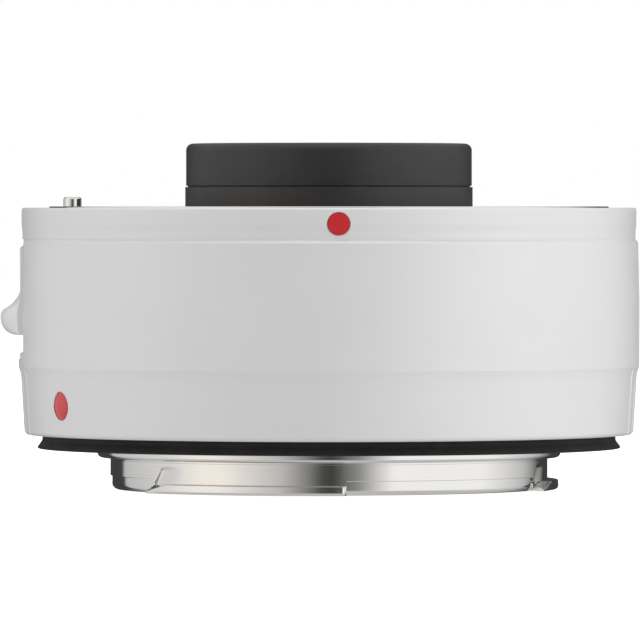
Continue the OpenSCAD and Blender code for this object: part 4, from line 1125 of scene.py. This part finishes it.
class LEVER_OT_build(bpy.types.Operator):
    """Model the release lever and the lock pin."""

    bl_idname = "converter.lever"
    bl_label = "Lever and pin"
    # Steps along the scoop and slices across the width.
    scoop_steps = 16
    slices = 25
    # Share of the nose's rounding in its arc, and height of the plain plate above the scoop's centre.
    nose_share = 0.98
    plate_rise = 0.6 * MM
    # Rounding of the pin's edges.
    tail_edge = 0.1 * MM
    body_edge = 0.05 * MM
    shoulder_edge = 0.06 * MM

    def side_outline(self, sizes, back, face, nose, foot, top):
        """Side of the lever, as (distance from the axis, height)."""
        scoop_z = foot + sizes.scoop_rise
        scoop_x = face - sizes.scoop_sink + sizes.scoop
        tip_z = foot + sizes.nose_round
        brow = sizes.brow
        hair = 0.01 * MM
        under = rounded([
            (back, foot, sizes.foot_edge),
            (nose, foot, self.nose_share * sizes.nose_round),
            (nose, scoop_z, 0),
            (back, top, 0),
        ], 10)[:-2]
        points = [point for point in under if point.y <= tip_z + hair]
        drop = math.sqrt(max(0, sizes.scoop**2 - (nose - brow - scoop_x) ** 2))
        points.append(Vector((nose, max(tip_z + 5 * hair, scoop_z - drop - 2 * brow))))
        first = math.asin((nose - sizes.crown - scoop_x) / sizes.scoop)
        for i in range(self.scoop_steps + 1):
            angle = first + (-math.pi / 2 - first) * i / self.scoop_steps
            across = scoop_x + sizes.scoop * math.sin(angle)
            points.append(Vector((across, scoop_z - sizes.scoop * math.cos(angle))))
        points = [point for point in points if point.x > face or point.y < tip_z]
        plate_z = scoop_z + self.plate_rise
        upper = [(face, plate_z), (face, top - brow), (face - brow, top), (back, top)]
        return points + [Vector(corner) for corner in upper]

    def lever_skin(self, sizes):
        """Side outline swept across the width, with the nose drawn in towards both ends."""
        low, high = BOXES["release_lever"]
        foot, top = low[2], high[2]
        shell = bpy.context.scene.converter_shell
        back = shell.radius - shell.flat_depth + sizes.gap
        face = back + sizes.plate
        nose = -low[0]
        half = high[1]
        side = self.side_outline(sizes, back, face, nose, foot, top)
        slices = self.slices
        columns = []
        for i in range(slices):
            y = half * (2 * i / (slices - 1) - 1)
            limit = nose - sizes.nose_plan + math.sqrt(sizes.nose_plan**2 - y**2)
            share = (limit - face) / (nose - face)
            column = []
            for point in side:
                x = point.x if point.x <= face else face + (point.x - face) * share
                column.append((-x, y, point.y))
            columns.append(column)
        rows = len(side)
        verts = [point for column in columns for point in column]
        faces = [tuple(range(rows)), tuple(range((slices - 1) * rows, slices * rows))[::-1]]
        for i in range(slices - 1):
            for k in range(rows):
                up = (k + 1) % rows
                faces.append((i * rows + up, i * rows + k, (i + 1) * rows + k, (i + 1) * rows + up))
        return verts, faces

    def pin_skin(self, sizes):
        """Shoulder pin on its own axis."""
        low, high = BOXES["lock_pin"]
        flange_z = node_top("front_mount_ring")
        hair = 0.01 * MM
        tail_z = node_top("slide_plate") + hair
        body_r = sizes.pin + sizes.pin_shoulder
        corners = [
            (0, low[2], 0),
            (sizes.pin_tail, low[2], self.tail_edge),
            (sizes.pin_tail, tail_z, 0),
            (body_r, tail_z, self.body_edge),
            (body_r, flange_z, self.shoulder_edge),
            (sizes.pin, flange_z, 0),
            (sizes.pin, high[2], sizes.pin_edge),
            (0, high[2], 0),
        ]
        middle = node_middle("lock_pin")
        return moved(solid_skin(rounded(corners), 64), Matrix.Translation((middle.x, middle.y, 0)))

    def coil(self):
        """Return spring, copied from the frame under the slide plate; the share of its height to keep at
        full travel is worked out but not used.
        """
        coil = welded_copy("return_coil", "return_spring", "steel", HOUSING)
        smooth(coil, 60)
        joints = {joint["name"]: joint for joint in frame["record"]["behaviour"]["joints"]}
        travel = joints[SLIDE]["range_m"][1]
        foot_z = node_foot("return_spring")
        keep = 1 - travel / (node_top("return_spring") - foot_z)
        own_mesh(coil)

    def execute(self, context):
        sizes = context.scene.converter_lever
        lever = new_piece("lever", self.lever_skin(sizes), "white_lever", SLIDER, ["release_lever"])
        low, high = BOXES["release_lever"]
        stem_z = low[2] + sizes.stem_rise
        shell = context.scene.converter_shell
        inner = -high[0]
        outer = shell.radius - shell.flat_depth + sizes.stem_end
        half = sizes.stem_width / 2
        stem = box_skin((-outer, -half, stem_z), (-inner, half, stem_z + sizes.stem_height))
        join_skin(lever, stem)
        bevel(lever, sizes.bevel, 4, 38)
        smooth(lever, 40)
        pin = new_piece("lock_pin_turned", self.pin_skin(sizes), "mount_chrome", SLIDER, ["lock_pin"])
        smooth(pin, 40)
        self.coil()
        return {"FINISHED"}


class SEAL_OT_build(bpy.types.Operator):
    """Model the flared rubber lip under the shell."""

    bl_idname = "converter.seal"
    bl_label = "Rubber lip"

    def execute(self, context):
        sizes = context.scene.converter_seal
        top_z = node_top("rear_seal")
        low_z = node_foot("rear_seal")
        lip_r = node_radius("rear_seal")
        corners = [
            (sizes.inner, sizes.rise, sizes.inner_edge),
            (sizes.root - sizes.lip, -sizes.sag, sizes.inner_bend),
            (lip_r - sizes.lip, low_z, sizes.edge),
            (lip_r, low_z + sizes.slant, sizes.edge),
            (sizes.root, sizes.rise, sizes.outer_bend),
            (sizes.root, top_z, 0),
            (sizes.inner, top_z, 0),
        ]
        skin = turned_skin(rounded(corners), 300)
        piece = new_piece("rubber_lip", skin, "seal_rubber", HOUSING, ["rear_seal"])
        smooth(piece)
        return {"FINISHED"}


class BAYONET_OT_build(bpy.types.Operator):
    """Model the camera bayonet with its lugs, ramps and milled hollows."""

    bl_idname = "converter.bayonet"
    bl_label = "Camera bayonet"
    # Steps up the wall and around the axis. Reaches are degrees from the leading and trailing end of a lug.
    wall_rows = 16
    bearing_steps = 360
    ramp_steps = 101
    ramp_reach = (-3.05, 15.05)
    corner_steps = 27
    corner_reach = (-1.3, 0)
    # Largest share of a lug's thickness or width that is rounded, and share of its width left at its end.
    most_round = 0.45
    least_lug = 0.1

    def outline(self, sizes, bearing):
        """Outline of the tube at a bearing, from the inner foot outwards and up."""
        foot_z = node_foot("rear_bayonet_ring")
        inner_r = sizes.tube - sizes.wall
        past = (bearing - sizes.lug_lead) % (2 * math.pi / sizes.lug_count)
        full_z = foot_z + sizes.lug_height
        recess_z = full_z + sizes.recess_rise
        recess_r = sizes.tube - sizes.recess
        nudge = 0.02 * MM
        if past <= sizes.lug_span:
            rise = min(1, past / sizes.ramp_span)
            thick = sizes.ramp_tip + (sizes.lug_height - sizes.ramp_tip) * rise
            lug_r = self.lug_radius(sizes, past)
            most = self.most_round * thick
            edge = min(sizes.lug_edge, most, self.most_round * (lug_r - sizes.tube))
            lower = [
                (lug_r, foot_z, min(sizes.lug_round, most)),
                (lug_r, foot_z + thick, edge),
                (sizes.tube, foot_z + thick, sizes.edge),
                *self.rows(sizes.tube, foot_z + thick, recess_z - nudge),
                (sizes.tube, recess_z - nudge, nudge),
                (sizes.tube, recess_z + nudge, nudge),
            ]
        else:
            lower = [
                (recess_r, foot_z, sizes.tube_round),
                (recess_r, full_z - sizes.edge, nudge),
                (recess_r, full_z, nudge),
                *self.rows(recess_r, full_z, recess_z),
                (recess_r, recess_z, nudge),
                (sizes.tube, recess_z, sizes.edge),
            ]
        groove_z = -sizes.pilot_height - sizes.undercut_height
        corners = [
            (inner_r, foot_z, sizes.bore_round),
            *lower,
            *self.rows(sizes.tube, recess_z + sizes.edge, groove_z - sizes.edge),
            (sizes.tube, groove_z, nudge),
            (sizes.tube - sizes.undercut, groove_z, nudge),
            (sizes.tube - sizes.undercut, -sizes.pilot_height, nudge),
            (sizes.pilot, -sizes.pilot_height, sizes.pilot_round),
            (sizes.pilot, sizes.seat / 2, 0),
            (inner_r, sizes.seat / 2, 0),
        ]
        return [self.hollowed(sizes, past, point) for point in rounded(corners)]

    def lug_radius(self, sizes, past):
        """Radius of a lug, rounded off at its trailing end."""
        over = max(0, past - sizes.lug_span + sizes.lug_turn) / sizes.lug_turn
        trail = max(self.least_lug, math.sqrt(max(0, 1 - over**2)))
        return sizes.tube + (sizes.lug - sizes.tube) * trail

    def rows(self, radius, low, high):
        """Corners without rounding, at even heights between two others."""
        return [(radius, low + (high - low) * k / self.wall_rows, 0) for k in range(1, self.wall_rows)]

    def hollowed(self, sizes, past, point):
        """The point, drawn in where the milled hollow runs out of the tube above a ramp."""
        pitch = 2 * math.pi / sizes.lug_count
        aside = (past - sizes.hollow_lead + pitch / 2) % pitch - pitch / 2
        slack = 0.05 * MM
        on_wall = sizes.tube - sizes.recess - slack < point.x < sizes.tube + slack
        run = aside * sizes.tube - sizes.hollow_slant * (point.y + sizes.hollow_drop)
        if not on_wall or run <= 0 or run >= sizes.hollow_length:
            return point
        entry = ease_in(run / sizes.hollow_wall)
        leave = 1 - ease_in((run - sizes.hollow_wall) / (sizes.hollow_length - sizes.hollow_wall))
        roof = 1 - ease_in((point.y + sizes.hollow_drop) / sizes.hollow_roof)
        return Vector((point.x - sizes.hollow_depth * entry * leave * roof, point.y))

    def bearings(self, sizes):
        """Bearings of the outlines, closer together at the ends of the lugs and at the hollows."""
        values = bearings_around(self.bearing_steps)
        step = math.radians(0.02)
        for k in range(sizes.lug_count):
            lead = sizes.lug_lead + 2 * math.pi * k / sizes.lug_count
            stop = lead + sizes.lug_span
            values += [lead - step, lead + step, stop - step, stop + step]
            values += fan(lead, *self.ramp_reach, self.ramp_steps)
            values += fan(stop, *self.corner_reach, self.corner_steps)
        folded = [(value + math.pi) % (2 * math.pi) - math.pi for value in values]
        return distinct(folded)

    def flange_cutters(self, sizes):
        """Countersinks and the slot for the camera's lock pin."""
        sink = sizes.screw_head - sizes.screw_shank
        reach = 0.1 * MM
        cone = [
            Vector((0, -reach)),
            Vector((sizes.screw_head + reach, -reach)),
            Vector((sizes.screw_shank, sink)),
            Vector((sizes.screw_shank, 2 * sizes.seat)),
            Vector((0, 2 * sizes.seat)),
        ]
        cutters = []
        for k in range(sizes.screw_count):
            bearing = (k + 0.5) * 2 * math.pi / sizes.screw_count
            place = Vector(at_bearing(sizes.screw_circle, bearing, 0))
            cutters.append(moved(solid_skin(cone, 48), Matrix.Translation(place)))
        half_width = sizes.slot_width / 2
        half_length = sizes.slot_length / 2 + half_width
        low = (-sizes.screw_circle - half_width, -half_length, -reach)
        high = (-sizes.screw_circle + half_width, half_length, sizes.slot_depth)
        return cutters + [box_skin(low, high)]

    def execute(self, context):
        sizes = context.scene.converter_bayonet
        columns = []
        for bearing in self.bearings(sizes):
            outline = self.outline(sizes, bearing)
            columns.append([at_bearing(point.x, bearing, point.y) for point in outline])
        inner_r = sizes.tube - sizes.wall
        seat_r = node_radius("rear_bayonet_ring")
        flange = rounded([
            (inner_r, 0, 0),
            (seat_r, 0, sizes.flange_edge),
            (seat_r, sizes.seat, sizes.flange_edge),
            (inner_r, sizes.seat, sizes.flange_edge),
        ])
        skin = turned_skin(flange, 300)
        piece = new_piece("camera_bayonet", skin, "mount_chrome", HOUSING, ["rear_bayonet_ring"])
        carve(piece, self.flange_cutters(sizes))
        join_skin(piece, ring_skin(columns))
        smooth(piece, 28)
        dress_nodes("steel", ["rear_mount_screws", "flange_shim"])
        return {"FINISHED"}


class BARREL_OT_build(bpy.types.Operator):
    """Finish the black front barrel and put a black ring in the groove under its trim ring, as painted
    shade.
    """

    bl_idname = "converter.barrel"
    bl_label = "Front barrel"

    def execute(self, context):
        sizes = context.scene.converter_barrel
        dress_nodes("barrel_black", ["lens_tube"])
        dress_nodes("black_anodised", ["front_trim_ring", "middle_retainer", "rear_retainer"])
        # The black ring at the bottom of the groove is painted shade: it stands in for the dark shade deep
        # in the groove and keeps the backdrop from showing through.
        groove_z = node_top("front_trim_ring") - sizes.trim
        outer_r = node_radius("front_trim_ring") - sizes.groove
        inner_r = outer_r - sizes.shade_ring_width
        edge = 0.04 * MM
        corners = [
            (inner_r, groove_z - sizes.seam, 0),
            (outer_r, groove_z - sizes.seam, edge),
            (outer_r, groove_z, edge),
            (inner_r, groove_z, 0),
        ]
        skin = turned_skin(rounded(corners), 200)
        piece = new_piece("groove_shade_ring", skin, "black_plastic", HOUSING, [])
        smooth(piece)
        return {"FINISHED"}


class MOUNT_OT_build(bpy.types.Operator):
    """Finish the lens mount, its screws and springs."""

    bl_idname = "converter.lens_mount"
    bl_label = "Lens mount"

    def execute(self, context):
        edge = context.scene.converter_bayonet.edge
        eased_copy("lens_mount", "front_mount_ring", "mount_chrome", HOUSING, edge)
        dress_nodes("steel", ["front_mount_screws", "mount_leaf_springs", "leaf_spring_rivets"])
        return {"FINISHED"}


class INNER_OT_dress(bpy.types.Operator):
    """Finish the frame, the contacts, the board and the release mechanism inside."""

    bl_idname = "converter.inner_parts"
    bl_label = "Inner parts"

    def execute(self, context):
        dress_nodes("black_anodised", ["main_frame"])
        dress_nodes("black_plastic", [
            "well_floor", "front_contact_block", "rear_baffle", "rear_contact_block", "board_chips",
        ])
        dress_nodes("contact_gold", ["front_contact_pins", "rear_contact_pads"])
        screws = ["rear_block_screws", "board_screws", "lever_screws", "guide_screws", "cell_screws"]
        dress_nodes("steel", [*screws, "slide_plate"])
        dress_nodes("board_laminate", ["circuit_board"])
        dress_nodes("ribbon_film", ["front_ribbon", "rear_ribbon"])
        return {"FINISHED"}


class GLASS_OT_dress(bpy.types.Operator):
    """Finish the seven lenses."""

    bl_idname = "converter.glass"
    bl_label = "Glass"

    def execute(self, context):
        dress_nodes("optical_glass", [f"lens_{number}" for number in range(1, 8)])
        return {"FINISHED"}


class STAGE_OT_build(bpy.types.Operator):
    """Set the floor, the light and the camera."""

    bl_idname = "converter.stage"
    bl_label = "Stage"

    def floor(self, sizes):
        """Pale floor that looks white to the camera and keeps the object's shadow."""
        half = sizes.floor_half
        z = CAD_BOX[0][2]
        corners = [(-half, -half, z), (half, -half, z), (half, half, z), (-half, half, z)]
        mesh = bpy.data.meshes.new("floor")
        mesh.from_pydata(corners, [], [(0, 1, 2, 3)])
        floor = bpy.data.objects.new("floor", mesh)
        bpy.context.scene.collection.objects.link(floor)
        material, finish = new_finish("floor_paper")
        camera, _, through = finish.rays()
        seen = camera + through
        grain = finish.noise(0.4 * MM)
        paper = finish.node("ShaderNodeBsdfDiffuse", sockets={
            "Color": finish.mix(tint(sizes.floor, 0.98), sizes.floor, grain),
        })
        glow = finish.node("ShaderNodeEmission", sockets={"Strength": seen * sizes.floor_glow})
        both = finish.node("ShaderNodeAddShader", sockets={0: paper, 1: glow})
        finish.node("ShaderNodeOutputMaterial", sockets={"Surface": both})
        mesh.materials.append(material)
        floor.visible_glossy = False

    def world(self, sizes):
        """White backdrop, with the soft boxes and dark gaps of a studio around the metal."""
        world = bpy.data.worlds.new("studio")
        bpy.context.scene.world = world
        world.use_nodes = True
        finish = Finish(world.node_tree)
        x, y, z = finish.split(finish.node("ShaderNodeTexCoord", output="Generated"))
        bearing = finish.node("ShaderNodeMath", {"operation": "ARCTAN2"}, {0: x, 1: -1 * y})
        around = bearing * (0.5 / math.pi) + 0.5
        stops = [(degrees / 360 + 0.5, shade) for degrees, shade in STUDIO]
        ring = finish.node("ShaderNodeValToRGB", {"stops": stops}, {0: around})
        soft = {"interpolation_type": "SMOOTHSTEP"}
        above = finish.node("ShaderNodeMapRange", soft, {0: z, 1: CEILING_FADE[0], 2: CEILING_FADE[1]})
        below = finish.node("ShaderNodeMapRange", soft, {0: z, 1: FLOOR_FADE[0], 2: FLOOR_FADE[1]})
        upper = finish.mix(ring, (CEILING_SHADE,) * 3, above)
        surround = finish.mix((FLOOR_SHADE,) * 3, upper, below)
        camera, glossy, through = finish.rays()
        shown = finish.mix((sizes.ambient,) * 3, surround, glossy)
        shade = finish.mix(shown, (1, 1, 1), camera + through)
        back = finish.node("ShaderNodeBackground", sockets={"Color": shade, "Strength": 1.0})
        finish.node("ShaderNodeOutputWorld", sockets={"Surface": back})

    def lamp(self, name, place, power, sizes):
        """Soft box that faces the object."""
        light = bpy.data.lights.new(name, "AREA")
        light.energy = power
        light.size = sizes.lamp_size
        lamp = bpy.data.objects.new(name, light)
        bpy.context.scene.collection.objects.link(lamp)
        lamp.location = place
        gaze = Vector((0, 0, sizes.aim)) - Vector(place)
        lamp.rotation_euler = gaze.to_track_quat("-Z", "Y").to_euler()
        lamp.visible_glossy = False

    def camera(self, sizes):
        """Camera at the photograph's place."""
        lens = bpy.data.cameras.new("camera")
        lens.lens = sizes.lens
        lens.clip_start = 10 * MM
        lens.clip_end = 50
        camera = bpy.data.objects.new("camera", lens)
        bpy.context.scene.collection.objects.link(camera)
        camera.location = (-sizes.lead, -sizes.distance, sizes.eye)
        gaze = Vector((0, sizes.distance, sizes.aim - sizes.eye))
        camera.rotation_euler = gaze.to_track_quat("-Z", "Y").to_euler()
        bpy.context.scene.camera = camera

    def execute(self, context):
        sizes = context.scene.converter_stage
        self.floor(sizes)
        self.world(sizes)
        right = at_bearing(sizes.lamp_reach, sizes.key_bearing, sizes.lamp_height)
        left = at_bearing(sizes.lamp_reach, sizes.fill_bearing, sizes.lamp_height)
        self.lamp("key", right, sizes.key, sizes)
        self.lamp("fill", left, sizes.fill, sizes)
        self.lamp("top", (0, 0, sizes.top_height), sizes.top, sizes)
        self.camera(sizes)
        context.scene.view_settings.view_transform = "Standard"
        return {"FINISHED"}


OPERATORS = (
    SHELL_OT_build, COLLAR_OT_build, MARKS_OT_build, LEVER_OT_build, SEAL_OT_build, BAYONET_OT_build,
    BARREL_OT_build, MOUNT_OT_build, INNER_OT_dress, GLASS_OT_dress, STAGE_OT_build,
)
SETTINGS = {
    "converter_shell": ShellSizes,
    "converter_bayonet": BayonetSizes,
    "converter_marks": MarkSizes,
    "converter_lever": LeverSizes,
    "converter_seal": SealSizes,
    "converter_barrel": BarrelSizes,
    "converter_finish": FinishColours,
    "converter_stage": StageSettings,
}


class CONVERTER_PT_panel(bpy.types.Panel):
    """Lists the pieces of the converter."""

    bl_idname = "CONVERTER_PT_panel"
    bl_label = "Converter"
    bl_space_type = "VIEW_3D"
    bl_region_type = "UI"
    bl_category = "Converter"

    def draw(self, context):
        for operator in OPERATORS:
            self.layout.operator(operator.bl_idname)
        for name, group in SETTINGS.items():
            box = self.layout.box()
            box.label(text=group.__doc__)
            for key in group.__annotations__:
                box.prop(getattr(context.scene, name), key)


def register():
    for name, group in SETTINGS.items():
        bpy.utils.register_class(group)
        setattr(bpy.types.Scene, name, bpy.props.PointerProperty(type=group))
    for entry in (*OPERATORS, CONVERTER_PT_panel):
        bpy.utils.register_class(entry)


def unregister():
    for entry in (CONVERTER_PT_panel, *OPERATORS):
        bpy.utils.unregister_class(entry)
    for name, group in SETTINGS.items():
        delattr(bpy.types.Scene, name)
        bpy.utils.unregister_class(group)


def main():
    register()
    for operator in OPERATORS:
        group, name = operator.bl_idname.split(".")
        getattr(getattr(bpy.ops, group), name)()


if __name__ == "__main__":
    main()
